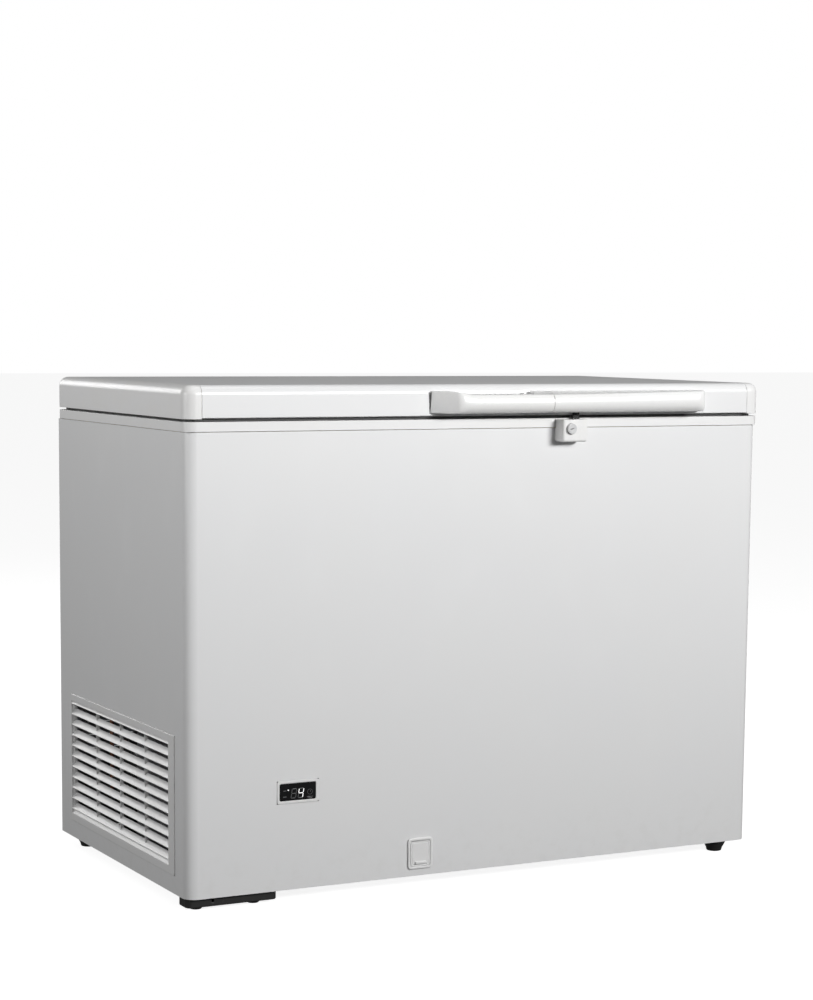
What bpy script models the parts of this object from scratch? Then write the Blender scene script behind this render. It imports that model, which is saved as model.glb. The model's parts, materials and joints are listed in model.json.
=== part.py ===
"""Chest freezer: a steel cabinet with a hinged lid, a two-part handle, a key lock, a side grille
over the compressor bay, a temperature display and a drain. Metres, +Z up, front towards -Y.
Everything is modelled about the cabinet's middle, on the floor, and hangs on one empty, which
moves it back so that the origin is under the middle of the whole object."""

import math

import bmesh
import bpy
from mathutils import Matrix, Vector

# ---- driving dimensions -------------------------------------------------------------------

WIDTH = 1.100            # over the lid and the top frame
DEPTH = 0.604            # over the lid and the top frame, without the handle
HEIGHT = 0.846           # floor to lid top
OVERHANG = 0.003         # top frame and lid beyond the body
FOOT_HEIGHT = 0.021
LID_THICKNESS = 0.053
LID_GAP = 0.005          # between the lid's edge and the top frame
FRAME_HEIGHT = 0.016
CORNER_RADIUS = 0.020    # body, frame and lid corners, seen from above
LID_EDGE_RADIUS = 0.016
WALL = 0.062             # skin, foam and liner together
SHEET = 0.001
FIT = 0.0004             # gap between pieces that touch

BAY_RIGHT = -0.300       # compressor bay, at the left end
BAY_TOP = 0.330
TUB_FLOOR = 0.095
HUMP_TOP = 0.385
HUMP_RIGHT = -0.245
COIL_SPACE = 0.0105      # room for the evaporator tube round the liner

CAP_WIDTH = 0.0293       # lid end caps
GRILLE_Y, GRILLE_Z = (-0.248, 0.2430), (0.051, 0.282)
GRILLE_DEPTH = 0.009
SLOTS_START, SLOT_PITCH_Y, SLOT_LENGTH, SLOT_COLUMNS = -0.2225, 0.1155, 0.1125, 4
SLOTS_LOW, SLOT_PITCH_Z, SLOT_HEIGHT, SLOT_ROWS = 0.0907, 0.0191, 0.0105, 10
DISPLAY_X, DISPLAY_Z, DISPLAY_SIZE, LENS_SIZE = -0.3515, 0.184, (0.075, 0.038), (0.063, 0.029)
DRAIN_X, DRAIN_Z, DRAIN_Y = -0.125, 0.0596, -0.190

HANDLE_BACK_X = (-0.1155, 0.4190)     # the handle's ends at the lid
HANDLE_FRONT_X = (-0.0780, 0.3985)    # and at the front of the bar
HANDLE_PROUD = 0.045
HANDLE_Z = (0.800, 0.8347)
BAR_TOP, BAR_THICKNESS = 0.8295, 0.018
LEVER_END = 0.0975       # the seam between the lever and the fixed grip
PIVOT_Y, PIVOT_Z = -0.3090, 0.8275

LOCK_X, LOCK_Z, CYLINDER_PROUD = 0.1425, 0.771, 0.005
LOCK_BODY_X, LOCK_BODY_Z, LOCK_PROUD = (0.1270, 0.1745), (0.7485, 0.7865), 0.028
CAM_Y = (-0.3132, -0.3088)
CHAMBER_Y = (-0.3140, -0.3065)
CAM_RADIUS = 0.0169

HINGE_X = 0.400
PIN_Y, PIN_Z, PIN_RADIUS, EAR_RADIUS = 0.3145, 0.781, 0.004, 0.0095

COMPRESSOR_X, COMPRESSOR_Y = -0.425, 0.135
FAN_X, FAN_Y, FAN_Z, FAN_RADIUS = -0.4725, -0.135, 0.150, 0.078
CONDENSER_X, SHROUD_X = (-0.530, -0.486), (-0.4850, -0.4730)
TAIL_Y = 0.190           # where the suction line drops down beside the liner
GLAND_XZ = (-0.360, 0.070)

BASKET_X, BASKET_Y, BASKET_Z = (-0.476, -0.256), 0.222, (0.575, 0.7835)

# ---- sizes worked out from them -----------------------------------------------------------

HALF_W, HALF_D = WIDTH / 2, DEPTH / 2
BODY_X, BODY_Y = HALF_W - OVERHANG, HALF_D - OVERHANG
LID_BOTTOM = HEIGHT - LID_THICKNESS
FRAME_TOP = LID_BOTTOM - LID_GAP
FRAME_BOTTOM = FRAME_TOP - FRAME_HEIGHT
TUB_X, TUB_Y = BODY_X - WALL, BODY_Y - WALL
REAR_FACE = BODY_Y - 0.0015
LEVER_START, GRIP_END = HANDLE_BACK_X
HANDLE_FRONT = -HALF_D - HANDLE_PROUD
Y_SHIFT = (-HANDLE_FRONT - PIN_Y - EAR_RADIUS) / 2
DECK_TOP = FOOT_HEIGHT + 0.0024
FLAP_HINGE = (DRAIN_X, -BODY_Y - 0.0019, DRAIN_Z + 0.0200)

# ---- helpers ------------------------------------------------------------------------------

for old in list(bpy.data.objects):
    bpy.data.objects.remove(old, do_unlink=True)

PARTS = bpy.data.collections.new("chest_freezer")
CUTTERS = bpy.data.collections.new("cutters")
for group in (PARTS, CUTTERS):
    bpy.context.scene.collection.children.link(group)


def empty(name, location, parent=None):
    """A guide that holds a body's pieces; its place is the body's joint axis."""
    guide = bpy.data.objects.new(name, None)
    guide.empty_display_size = 0.05
    guide.location = location
    guide.parent = parent
    PARTS.objects.link(guide)
    return guide


CABINET = empty("cabinet_frame", (0, Y_SHIFT, 0))
PIVOTS = {}


def pivot(name, location, base=None):
    """A joint's empty, at its place in the cabinet's frame."""
    start = Vector(PIVOTS[base]) if base else Vector((0, 0, 0))
    parent = bpy.data.objects[base] if base else CABINET
    PIVOTS[name] = tuple(location)
    return empty(name, Vector(location) - start, parent)


def material(name, colour, roughness=0.4, metallic=0.0):
    found = bpy.data.materials.get(name)
    if found:
        return found
    made = bpy.data.materials.new(name)
    made.use_nodes = True
    shader = made.node_tree.nodes["Principled BSDF"]
    shader.inputs["Base Color"].default_value = (*colour, 1)
    shader.inputs["Roughness"].default_value = roughness
    shader.inputs["Metallic"].default_value = metallic
    made.diffuse_color = (*colour, 1)
    return made


def white_steel():
    return material("white_painted_steel", (0.80, 0.80, 0.80), 0.35)


def galvanised():
    return material("galvanised_steel", (0.55, 0.56, 0.57), 0.45, 0.9)


def white_plastic():
    return material("white_plastic", (0.82, 0.82, 0.82), 0.35)


def black_plastic():
    return material("black_plastic", (0.02, 0.02, 0.02), 0.5)


def foam_colour():
    return material("insulation_foam", (0.80, 0.70, 0.42), 0.9)


def copper():
    return material("copper", (0.72, 0.40, 0.24), 0.3, 1.0)


def zinc_steel():
    return material("zinc_steel", (0.62, 0.62, 0.63), 0.35, 1.0)


def rubber():
    return material("gasket_rubber", (0.12, 0.12, 0.12), 0.7)


def black_paint():
    return material("black_painted_steel", (0.02, 0.02, 0.022), 0.45)


def place(name, mesh, colour, hold=None, smooth=False):
    """Make the named object of a mesh that is modelled in the cabinet's frame."""
    made = bpy.data.objects.new(name, mesh)
    if hold:
        mesh.transform(Matrix.Translation(-Vector(PIVOTS[hold])))
    made.parent = bpy.data.objects[hold] if hold else CABINET
    if colour:
        mesh.materials.append(colour)
        PARTS.objects.link(made)
    else:
        made.hide_render = True
        made.display_type = "WIRE"
        CUTTERS.objects.link(made)
    if smooth:
        mesh.shade_smooth()
        mesh.set_sharp_from_angle(angle=math.radians(40))
    return made


def mesh_of(builder, name):
    mesh = bpy.data.meshes.new(name)
    builder.to_mesh(mesh)
    builder.free()
    return mesh


def box_mesh(name, xs, ys, zs):
    bm = bmesh.new()
    bmesh.ops.create_cube(bm, size=1)
    bmesh.ops.scale(bm, vec=(xs[1] - xs[0], ys[1] - ys[0], zs[1] - zs[0]), verts=bm.verts)
    middle = ((xs[0] + xs[1]) / 2, (ys[0] + ys[1]) / 2, (zs[0] + zs[1]) / 2)
    bmesh.ops.translate(bm, vec=middle, verts=bm.verts)
    return mesh_of(bm, name)


def box(name, xs, ys, zs, colour=None, hold=None):
    return place(name, box_mesh(name, xs, ys, zs), colour, hold)


def rod(name, radius, start, end, colour=None, hold=None, sides=20):
    """A straight round rod between two points."""
    start, end = Vector(start), Vector(end)
    bm = bmesh.new()
    bmesh.ops.create_cone(bm, cap_ends=True, segments=sides, radius1=radius, radius2=radius,
                          depth=(end - start).length)
    turn = Vector((0, 0, 1)).rotation_difference(end - start).to_matrix().to_4x4()
    bmesh.ops.transform(bm, matrix=Matrix.Translation((start + end) / 2) @ turn, verts=bm.verts)
    return place(name, mesh_of(bm, name), colour, hold, smooth=True)


def evaluated_mesh(maker, weld=0.00001):
    """The finished mesh of an object that is then removed, with its caps welded on."""
    bpy.context.view_layer.update()
    graph = bpy.context.evaluated_depsgraph_get()
    mesh = bpy.data.meshes.new_from_object(maker.evaluated_get(graph))
    mesh.transform(maker.matrix_world)
    bpy.data.objects.remove(maker, do_unlink=True)
    bm = bmesh.new()
    bm.from_mesh(mesh)
    bmesh.ops.remove_doubles(bm, verts=bm.verts, dist=weld)
    bm.to_mesh(mesh)
    bm.free()
    mesh.materials.clear()
    return mesh


PLANES = {
    "X": Matrix(((0, 0, 1, 0), (1, 0, 0, 0), (0, 1, 0, 0), (0, 0, 0, 1))),    # outline in y, z
    "Y": Matrix(((1, 0, 0, 0), (0, 0, -1, 0), (0, 1, 0, 0), (0, 0, 0, 1))),   # outline in x, z
    "Z": Matrix.Identity(4),                                                  # outline in x, y
}


def flat(name, loops, axis, span, colour=None, hold=None, smooth=False):
    """A flat outline, with any holes as further loops, given its thickness along an axis."""
    curve = bpy.data.curves.new(name, "CURVE")
    curve.dimensions = "2D"
    curve.fill_mode = "BOTH"
    curve.extrude = (span[1] - span[0]) / 2
    for loop in loops:
        spline = curve.splines.new("POLY")
        spline.points.add(len(loop) - 1)
        for point, (u, v) in zip(spline.points, loop):
            point.co = (u, v, 0, 1)
        spline.use_cyclic_u = True
    maker = bpy.data.objects.new(name + "_outline", curve)
    bpy.context.scene.collection.objects.link(maker)
    mesh = evaluated_mesh(maker)
    middle = (span[0] + span[1]) / 2
    shift = {"X": (middle, 0, 0), "Y": (0, middle, 0), "Z": (0, 0, middle)}[axis]
    mesh.transform(Matrix.Translation(shift) @ PLANES[axis])
    return place(name, mesh, colour, hold, smooth)


def tube(name, points, radius, colour=None, hold=None, sides=2):
    """A round tube along points, with its ends closed."""
    curve = bpy.data.curves.new(name, "CURVE")
    curve.dimensions = "3D"
    curve.bevel_depth = radius
    curve.bevel_resolution = sides
    curve.use_fill_caps = True
    spline = curve.splines.new("POLY")
    spline.points.add(len(points) - 1)
    for point, place_at in zip(spline.points, points):
        point.co = (*place_at, 1)
    maker = bpy.data.objects.new(name + "_path", curve)
    bpy.context.scene.collection.objects.link(maker)
    return place(name, evaluated_mesh(maker), colour, hold, smooth=True)


def turned(name, profile, base, axis, colour=None, hold=None, steps=20):
    """A turned shape: a profile of (radius, height), spun about an axis through base."""
    bm = bmesh.new()
    ring = [bm.verts.new((radius, 0, height)) for radius, height in profile]
    for first, second in zip(ring, ring[1:]):
        bm.edges.new((first, second))
    if profile[0][0] > 0:
        bm.edges.new((ring[-1], ring[0]))
    maker = bpy.data.objects.new(name + "_profile", mesh_of(bm, name))
    bpy.context.scene.collection.objects.link(maker)
    screw = maker.modifiers.new("turn", "SCREW")
    screw.steps = screw.render_steps = steps
    screw.use_merge_vertices = True
    screw.merge_threshold = 0.00005
    mesh = evaluated_mesh(maker)
    turn = Vector((0, 0, 1)).rotation_difference(Vector(axis)).to_matrix().to_4x4()
    mesh.transform(Matrix.Translation(base) @ turn)
    return place(name, mesh, colour, hold, smooth=True)


def sheet(name, path, axis, span, colour, thickness=SHEET, hold=None):
    """Bent sheet metal: a path run anticlockwise, its outer side to the right, pulled along an axis."""
    bm = bmesh.new()
    ends = [[bm.verts.new((u, v, w)) for u, v in path] for w in span]
    for i in range(len(path) - 1):
        bm.faces.new((ends[0][i], ends[0][i + 1], ends[1][i + 1], ends[1][i]))
    bmesh.ops.transform(bm, matrix=PLANES[axis], verts=bm.verts)
    made = place(name, mesh_of(bm, name), colour, hold, smooth=True)
    solid = made.modifiers.new("sheet", "SOLIDIFY")
    solid.thickness = thickness
    solid.offset = -1
    solid.use_even_offset = True
    return made


def boolean(target, tool, operation="DIFFERENCE"):
    change = target.modifiers.new(operation.lower(), "BOOLEAN")
    change.operation = operation
    change.solver = "EXACT"
    change.object = tool
    return target


def bevel(target, width, segments=2, angle=35):
    rounding = target.modifiers.new("rounding", "BEVEL")
    rounding.width = width
    rounding.segments = segments
    rounding.limit_method = "ANGLE"
    rounding.angle_limit = math.radians(angle)
    return target


def arc(centre, radius, start, end, steps):
    """Points on an arc, angles in degrees, both ends included."""
    angles = [math.radians(start + (end - start) * i / steps) for i in range(steps + 1)]
    return [(centre[0] + radius * math.cos(a), centre[1] + radius * math.sin(a)) for a in angles]


def rounded(us, vs, radius, steps=5):
    """A rectangle with round corners, anticlockwise."""
    u0, u1, v0, v1 = us[0] + radius, us[1] - radius, vs[0] + radius, vs[1] - radius
    corners = [((u1, v0), -90), ((u1, v1), 0), ((u0, v1), 90), ((u0, v0), 180)]
    return [p for centre, start in corners for p in arc(centre, radius, start, start + 90, steps)]


def circle(centre, radius, steps=20):
    return arc(centre, radius, 0, 360, steps)[:-1]


def span(middle, size):
    return middle - size / 2, middle + size / 2


# ---- cabinet ------------------------------------------------------------------------------

def tub_mesh(name, grow, grow_down, top):
    """The storage space as a block: stepped over the compressor bay, with rounded edges."""
    left, right, step = -TUB_X - grow, TUB_X + grow, HUMP_RIGHT - grow
    floor, hump = TUB_FLOOR - grow_down, HUMP_TOP - grow_down
    outline = [(left, hump), (step, hump), (step, floor), (right, floor), (right, top), (left, top)]
    bm = bmesh.new()
    face = bm.faces.new([bm.verts.new((x, -TUB_Y - grow, z)) for x, z in outline])
    grown = bmesh.ops.extrude_face_region(bm, geom=[face])["geom"]
    bmesh.ops.translate(bm, vec=(0, 2 * (TUB_Y + grow), 0),
                        verts=[part for part in grown if isinstance(part, bmesh.types.BMVert)])
    bmesh.ops.recalc_face_normals(bm, faces=bm.faces)
    edges = [e for e in bm.edges if not all(abs(v.co.z - top) < 1e-6 for v in e.verts)]
    bmesh.ops.bevel(bm, geom=edges, offset=0.016 + grow / 2, segments=3, profile=0.5, affect="EDGES")
    return bm


def inner_liner():
    bm = tub_mesh("inner_liner", 0, 0, FRAME_BOTTOM - FIT)
    top = [f for f in bm.faces if f.normal.z > 0.9 and f.calc_center_median().z > FRAME_BOTTOM - 0.002]
    bmesh.ops.delete(bm, geom=top, context="FACES")
    liner = place("inner_liner", mesh_of(bm, "inner_liner"), white_steel(), smooth=True)
    solid = liner.modifiers.new("sheet", "SOLIDIFY")
    solid.thickness = SHEET
    solid.offset = 1
    solid.use_even_offset = True
    hole = rod("liner_drain_hole", 0.0095, (DRAIN_X, DRAIN_Y, TUB_FLOOR - 0.01),
               (DRAIN_X, DRAIN_Y, TUB_FLOOR + 0.01))
    boolean(liner, hole)


def drain_route():
    """From under the liner's drain hole, down, round a bend and out to the front."""
    bend = 0.022
    low = DRAIN_Z
    corner = arc((DRAIN_Y - bend, low + bend), bend, 0, -90, 5)
    return [(DRAIN_X, DRAIN_Y, TUB_FLOOR - SHEET - FIT)] + [(DRAIN_X, y, z) for y, z in corner] \
        + [(DRAIN_X, -BODY_Y + 0.013, low)]


def insulation_foam():
    plan = rounded((-BODY_X + 0.0015, BODY_X - 0.0015), (-BODY_Y + 0.0015, REAR_FACE - 0.0015),
                   CORNER_RADIUS - 0.001)
    foam = flat("insulation_foam", [plan], "Z", (FOOT_HEIGHT + 0.0018, FRAME_BOTTOM - FIT), foam_colour())
    tub = place("foam_tub", mesh_of(tub_mesh("foam_tub", COIL_SPACE, SHEET + FIT, FRAME_BOTTOM + 0.02),
                                    "foam_tub"), None)
    bay = box("foam_bay", (-1, BAY_RIGHT + 0.0015), (-1, 1), (-0.1, BAY_TOP + 0.0015))
    channel = tube("foam_drain_channel", drain_ends(), 0.0116)
    mouth = box("foam_drain_mouth", span(DRAIN_X, 0.034), (-0.4, -BODY_Y + 0.016), span(DRAIN_Z, 0.034))
    probe = rod("foam_probe_hole", 0.006, (BAY_RIGHT - 0.02, 0.10, 0.25), (HUMP_RIGHT + 0.02, 0.10, 0.25))
    tail = rod("foam_tail_hole", 0.0055, (coil_x(), TAIL_Y, BAY_TOP - 0.02),
               (coil_x(), TAIL_Y, HUMP_TOP + 0.05))
    for tool in (tub, bay, channel, mouth, probe, tail):
        boolean(foam, tool)


def drain_ends():
    """The drain's route with its ends drawn out, for what passes through it."""
    route = drain_route()
    first, last = Vector(route[0]), Vector(route[-1])
    return [tuple(first + Vector((0, 0, 0.01)))] + route + [tuple(last - Vector((0, 0.004, 0)))]


def coil_x():
    return -(TUB_X + SHEET + 0.0045)


def evaporator_coil():
    """Tube wound round the liner above the step; its tail is the suction line down to the compressor."""
    half_x, half_y, radius = TUB_X + SHEET + 0.0045, TUB_Y + SHEET + 0.0045, 0.018
    turns, low, pitch = 5, 0.425, 0.068
    loop = rounded((-half_x, half_x), (-half_y, half_y), radius, 4)
    start = min(range(len(loop)), key=lambda i: (loop[i][0] + half_x) ** 2 + (loop[i][1] - half_y) ** 2)
    loop = loop[start:] + loop[:start]
    count = turns * len(loop)
    # the first corner is half way round the rear left arc; the tail hangs from the wall after it
    wound = [(*loop[i % len(loop)], low + pitch * i / len(loop)) for i in range(3, count)]
    away = Vector((-half_x - COMPRESSOR_X, TAIL_Y - COMPRESSOR_Y)).normalized()
    end = Vector((COMPRESSOR_X, COMPRESSOR_Y)) + away * 0.0785
    entry_z = 0.100
    tail = [(end.x, end.y, entry_z), (-half_x - away.x * 0.002, TAIL_Y - away.y * 0.002, entry_z + 0.001),
            (-half_x, TAIL_Y, entry_z + 0.005), (-half_x, TAIL_Y, low - 0.018),
            (-half_x, TAIL_Y - 0.006, low - 0.004), (-half_x, TAIL_Y - 0.020, low + 0.002)]
    tube("evaporator_coil", tail + wound, 0.004, copper())


def outer_cabinet():
    corner = CORNER_RADIUS
    x, y, flange = BODY_X, BODY_Y, 0.020
    path = [(-x + flange, y), (-x, y)] + arc((-x + corner, -y + corner), corner, 180, 270, 6) \
        + arc((x - corner, -y + corner), corner, 270, 360, 6) + [(x, y), (x - flange, y)]
    skin = sheet("outer_cabinet", path, "Z", (FOOT_HEIGHT, FRAME_BOTTOM - FIT), white_steel())
    grow = 0.0003
    grille = box("skin_grille_hole", (-0.56, -0.53), (GRILLE_Y[0] - grow, GRILLE_Y[1] + grow),
                 (GRILLE_Z[0] - grow, GRILLE_Z[1] + grow))
    width, height = DISPLAY_SIZE
    display = box("skin_display_hole", span(DISPLAY_X, width + 2 * grow), (-0.32, -0.28),
                  span(DISPLAY_Z, height + 2 * grow))
    drain = box("skin_drain_hole", span(DRAIN_X, 0.030), (-0.32, -0.28), span(DRAIN_Z, 0.030))
    for tool in (grille, display, drain):
        boolean(skin, tool)


def rear_panel():
    x, low, top = BODY_X - 0.0015, FOOT_HEIGHT + 0.0025, FRAME_BOTTOM - 0.001
    edge = BAY_RIGHT + 0.001
    outline = [(-x, BAY_TOP + 0.001), (edge, BAY_TOP + 0.001), (edge, low), (x, low), (x, top), (-x, top)]
    flat("rear_panel", [outline], "Y", (REAR_FACE - SHEET, REAR_FACE), galvanised())


def bay_rear_cover():
    """Vented cover behind the compressor."""
    xs, zs = (-BODY_X + 0.0015, BAY_RIGHT - 0.0005), (FOOT_HEIGHT + 0.0030, BAY_TOP - 0.0005)
    slots = [rounded((-0.500, -0.345), span(0.150 + 0.024 * row, 0.008), 0.0035, 2) for row in range(6)]
    gland = circle(GLAND_XZ, 0.0085)
    outline = [(xs[0], zs[0]), (xs[1], zs[0]), (xs[1], zs[1]), (xs[0], zs[1])]
    flat("bay_rear_cover", [outline, gland] + slots, "Y", (REAR_FACE - SHEET, REAR_FACE), galvanised())


def power_gland():
    """The strain relief that the mains lead leaves through."""
    profile = [(0, 0.0225), (0.0050, 0.0225), (0.0065, 0.0020), (0.0120, 0.0020), (0.0120, 0.0004),
               (0.0078, 0.0004), (0.0078, -0.0120), (0, -0.0120)]
    turned("power_gland", profile, (GLAND_XZ[0], REAR_FACE, GLAND_XZ[1]), (0, 1, 0), black_plastic(),
           steps=20)


def base_pan():
    plan = rounded((BAY_RIGHT + 0.0015, BODY_X - 0.0015), (-BODY_Y + 0.0015, REAR_FACE - 0.0015),
                   CORNER_RADIUS - 0.002, 3)
    flat("base_pan", [plan], "Z", (FOOT_HEIGHT + 0.0004, FOOT_HEIGHT + 0.0014), galvanised())


def compressor_deck():
    plan = rounded((-BODY_X + 0.0015, BAY_RIGHT - 0.0005), (-BODY_Y + 0.0015, REAR_FACE - 0.0015),
                   CORNER_RADIUS - 0.002, 3)
    flat("compressor_deck", [plan], "Z", (FOOT_HEIGHT + 0.0004, DECK_TOP), black_paint())


def bay_lining():
    """Steel sheet that keeps the foam out of the compressor bay."""
    corner_room = 0.0065
    path = [(BAY_RIGHT, DECK_TOP + 0.0005), (BAY_RIGHT, BAY_TOP), (-BODY_X + corner_room, BAY_TOP)]
    lining = sheet("bay_lining", [(x, z) for x, z in reversed(path)], "Y",
                   (-(REAR_FACE - 0.0015), BODY_Y - corner_room - 0.0020), galvanised())
    probe = rod("lining_probe_hole", 0.006, (BAY_RIGHT - 0.02, 0.10, 0.25), (BAY_RIGHT + 0.02, 0.10, 0.25))
    tail = rod("lining_tail_hole", 0.0055, (coil_x(), TAIL_Y, BAY_TOP - 0.02),
               (coil_x(), TAIL_Y, BAY_TOP + 0.02))
    boolean(boolean(lining, probe), tail)


def temperature_probe():
    rod("temperature_probe", 0.005, (BAY_RIGHT - 0.004, 0.10, 0.25),
        (HUMP_RIGHT - COIL_SPACE - 0.0005, 0.10, 0.25), zinc_steel(), sides=16)


def top_frame():
    outer = rounded((-HALF_W, HALF_W), (-HALF_D, HALF_D), CORNER_RADIUS + OVERHANG / 2)
    opening = rounded((-TUB_X + 0.0005, TUB_X - 0.0005), (-TUB_Y + 0.0005, TUB_Y - 0.0005), 0.018, 3)
    frame = flat("top_frame", [outer, opening], "Z", (FRAME_BOTTOM, FRAME_TOP), white_plastic())
    ledge = 0.012
    step = flat("frame_ledge", [rounded((-TUB_X - ledge, TUB_X + ledge), (-TUB_Y - ledge, TUB_Y + ledge),
                                        0.024, 3)], "Z", (FRAME_TOP - 0.008, FRAME_TOP + 0.01))
    bevel(boolean(frame, step), 0.0015, 1)


def side_grille():
    """Louvred moulding over the compressor bay: a raised border and four columns of slots."""
    xs = (-BODY_X - 0.0010, -BODY_X + GRILLE_DEPTH)
    grille = box("side_grille", xs, GRILLE_Y, GRILLE_Z, white_plastic())
    bevel(grille, 0.0015, 1)
    for column in range(SLOT_COLUMNS):
        start = SLOTS_START + column * SLOT_PITCH_Y
        for row in range(SLOT_ROWS):
            box(f"grille_slot_{column}_{row}", (-0.57, -0.52), (start, start + SLOT_LENGTH),
                span(SLOTS_LOW + row * SLOT_PITCH_Z, SLOT_HEIGHT))
    join_cutters("grille_slot_", "grille_slots")
    boolean(grille, bpy.data.objects["grille_slots"])


def join_cutters(prefix, name):
    """Make one cutter of several that don't touch."""
    bm = bmesh.new()
    for tool in [o for o in CUTTERS.objects if o.name.startswith(prefix)]:
        bm.from_mesh(tool.data)
        bpy.data.objects.remove(tool, do_unlink=True)
    place(name, mesh_of(bm, name), None)


def display():
    width, height = DISPLAY_SIZE
    lens_w, lens_h = LENS_SIZE
    outer = rounded(span(DISPLAY_X, width), span(DISPLAY_Z, height), 0.0015, 2)
    window = rounded(span(DISPLAY_X, lens_w), span(DISPLAY_Z, lens_h), 0.0010, 2)
    flat("display_bezel", [outer, window], "Y", (-BODY_Y - 0.0015, -BODY_Y + 0.0090), white_plastic())
    box("display_lens", span(DISPLAY_X, lens_w - 0.0008), (-BODY_Y + 0.0045, -BODY_Y + 0.0070),
        span(DISPLAY_Z, lens_h - 0.0008), material("display_lens", (0.01, 0.01, 0.012), 0.08))
    bevel(box("control_box", span(DISPLAY_X, 0.084), (-BODY_Y + 0.0095, -BODY_Y + 0.0480),
              span(DISPLAY_Z, 0.050), black_plastic()), 0.003)


# ---- drain --------------------------------------------------------------------------------

def drain():
    outer = rounded(span(DRAIN_X, 0.0465), span(DRAIN_Z, 0.053), 0.005, 4)
    window = rounded(span(DRAIN_X, 0.0372), span(DRAIN_Z, 0.0440), 0.003, 2)
    flat("drain_bezel", [outer, window], "Y", (-BODY_Y - 0.0034, -BODY_Y - 0.0003), white_plastic())

    pipe = tube("drain_tube", drain_route(), 0.010, white_plastic(), sides=3)
    boolean(pipe, tube("drain_bore", drain_ends(), 0.008, sides=3))

    flap_outline = rounded(span(DRAIN_X, 0.0362), (DRAIN_Z - 0.0215, DRAIN_Z + 0.0208), 0.003, 2)
    flap = flat("drain_flap", [flap_outline], "Y", (-BODY_Y - 0.0030, -BODY_Y - 0.0008), white_plastic(),
                hold="drain_flap_axis")
    lip = box("flap_lip", span(DRAIN_X, 0.023), (-BODY_Y - 0.0058, -BODY_Y - 0.0020),
              span(DRAIN_Z - 0.0125, 0.0030), hold="drain_flap_axis")
    boolean(flap, lip, "UNION")

    profile = [(0, 0.0065), (0.0120, 0.0065), (0.0160, 0.0035), (0.0160, 0.0006), (0.0072, 0.0006),
               (0.0072, -0.0150), (0, -0.0150)]
    turned("drain_plug", profile, (DRAIN_X, DRAIN_Y, TUB_FLOOR), (0, 0, 1), white_plastic(),
           hold="drain_plug_axis")


# ---- compressor bay -----------------------------------------------------------------------

def compressor():
    """Hermetic can on a base plate, with rubber mounts on the deck and a relay cover."""
    plate_z = 0.0400
    profile = [(0, 0.228), (0.030, 0.226), (0.056, 0.214), (0.072, 0.190), (0.078, 0.150), (0.078, 0.140),
               (0.082, 0.138), (0.082, 0.132), (0.078, 0.130), (0.076, 0.090), (0.062, 0.055),
               (0.040, plate_z + 0.001), (0, plate_z + 0.001)]
    can = turned("compressor", profile, (COMPRESSOR_X, COMPRESSOR_Y, 0), (0, 0, 1), black_paint(), steps=24)
    corners = [(COMPRESSOR_X + sx * 0.085, COMPRESSOR_Y + sy * 0.060) for sx in (-1, 1) for sy in (-1, 1)]
    plan = rounded(span(COMPRESSOR_X, 0.200), span(COMPRESSOR_Y, 0.150), 0.014, 3)
    plate = flat("compressor_plate", [plan] + [circle(c, 0.005, 12) for c in corners], "Z",
                 (plate_z, plate_z + 0.003))
    boolean(can, plate, "UNION")
    low, high = DECK_TOP + FIT, plate_z - FIT
    for number, (x, y) in enumerate(corners, 1):
        profile = [(0.010, high), (0.012, high - 0.004), (0.012, low + 0.004), (0.010, low),
                   (0.004, low), (0.004, high)]
        turned(f"compressor_mount_{number}", profile, (x, y, 0), (0, 0, 1), rubber(), steps=14)
    bevel(box("relay_cover", span(COMPRESSOR_X, 0.060), (COMPRESSOR_Y - 0.128, COMPRESSOR_Y - 0.084),
              (0.090, 0.152), black_plastic()), 0.004)


def pipework():
    """The delivery pipe over the top to the condenser, and back by way of the drier at its foot."""
    bend = 0.018
    side = COMPRESSOR_X + 0.0790
    run_x, run_z, end_y = -0.325, 0.285, -0.020
    coil_side, drier_x, drier_y, drier_z, low_z = -0.5075, -0.340, -0.010, 0.150, 0.055
    rise = arc((run_x - bend, 0.100 + bend), bend, -90, 0, 4)
    over = arc((COMPRESSOR_Y - bend, run_z - bend), bend, 0, 90, 4)
    across = arc((run_x - bend, end_y + bend), bend, 0, -90, 4)
    down = arc((coil_side + bend, run_z - bend), bend, 90, 180, 4)
    points = [(side, COMPRESSOR_Y, 0.100)] + [(x, COMPRESSOR_Y, z) for x, z in rise] \
        + [(run_x, y, z) for y, z in over] + [(x, y, run_z) for x, y in across] \
        + [(x, end_y, z) for x, z in down] + [(coil_side, end_y, 0.262)]
    tube("discharge_pipe", points, 0.003, copper())

    profile = [(0, 0.052), (0.003, 0.052), (0.004, 0.046), (0.009, 0.040), (0.009, -0.040),
               (0.004, -0.046), (0.003, -0.052), (0, -0.052)]
    turned("filter_drier", profile, (drier_x, drier_y, drier_z), (0, 0, 1), copper(), steps=14)
    low = [(drier_x, drier_y, drier_z - 0.0528), (drier_x, drier_y, low_z + 0.007),
           (drier_x - 0.006, drier_y, low_z), (coil_side + 0.0075, drier_y, low_z),
           (coil_side, drier_y - 0.003, low_z), (coil_side, drier_y - 0.0235, low_z)]
    tube("liquid_pipe", low, 0.003, copper())


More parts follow.
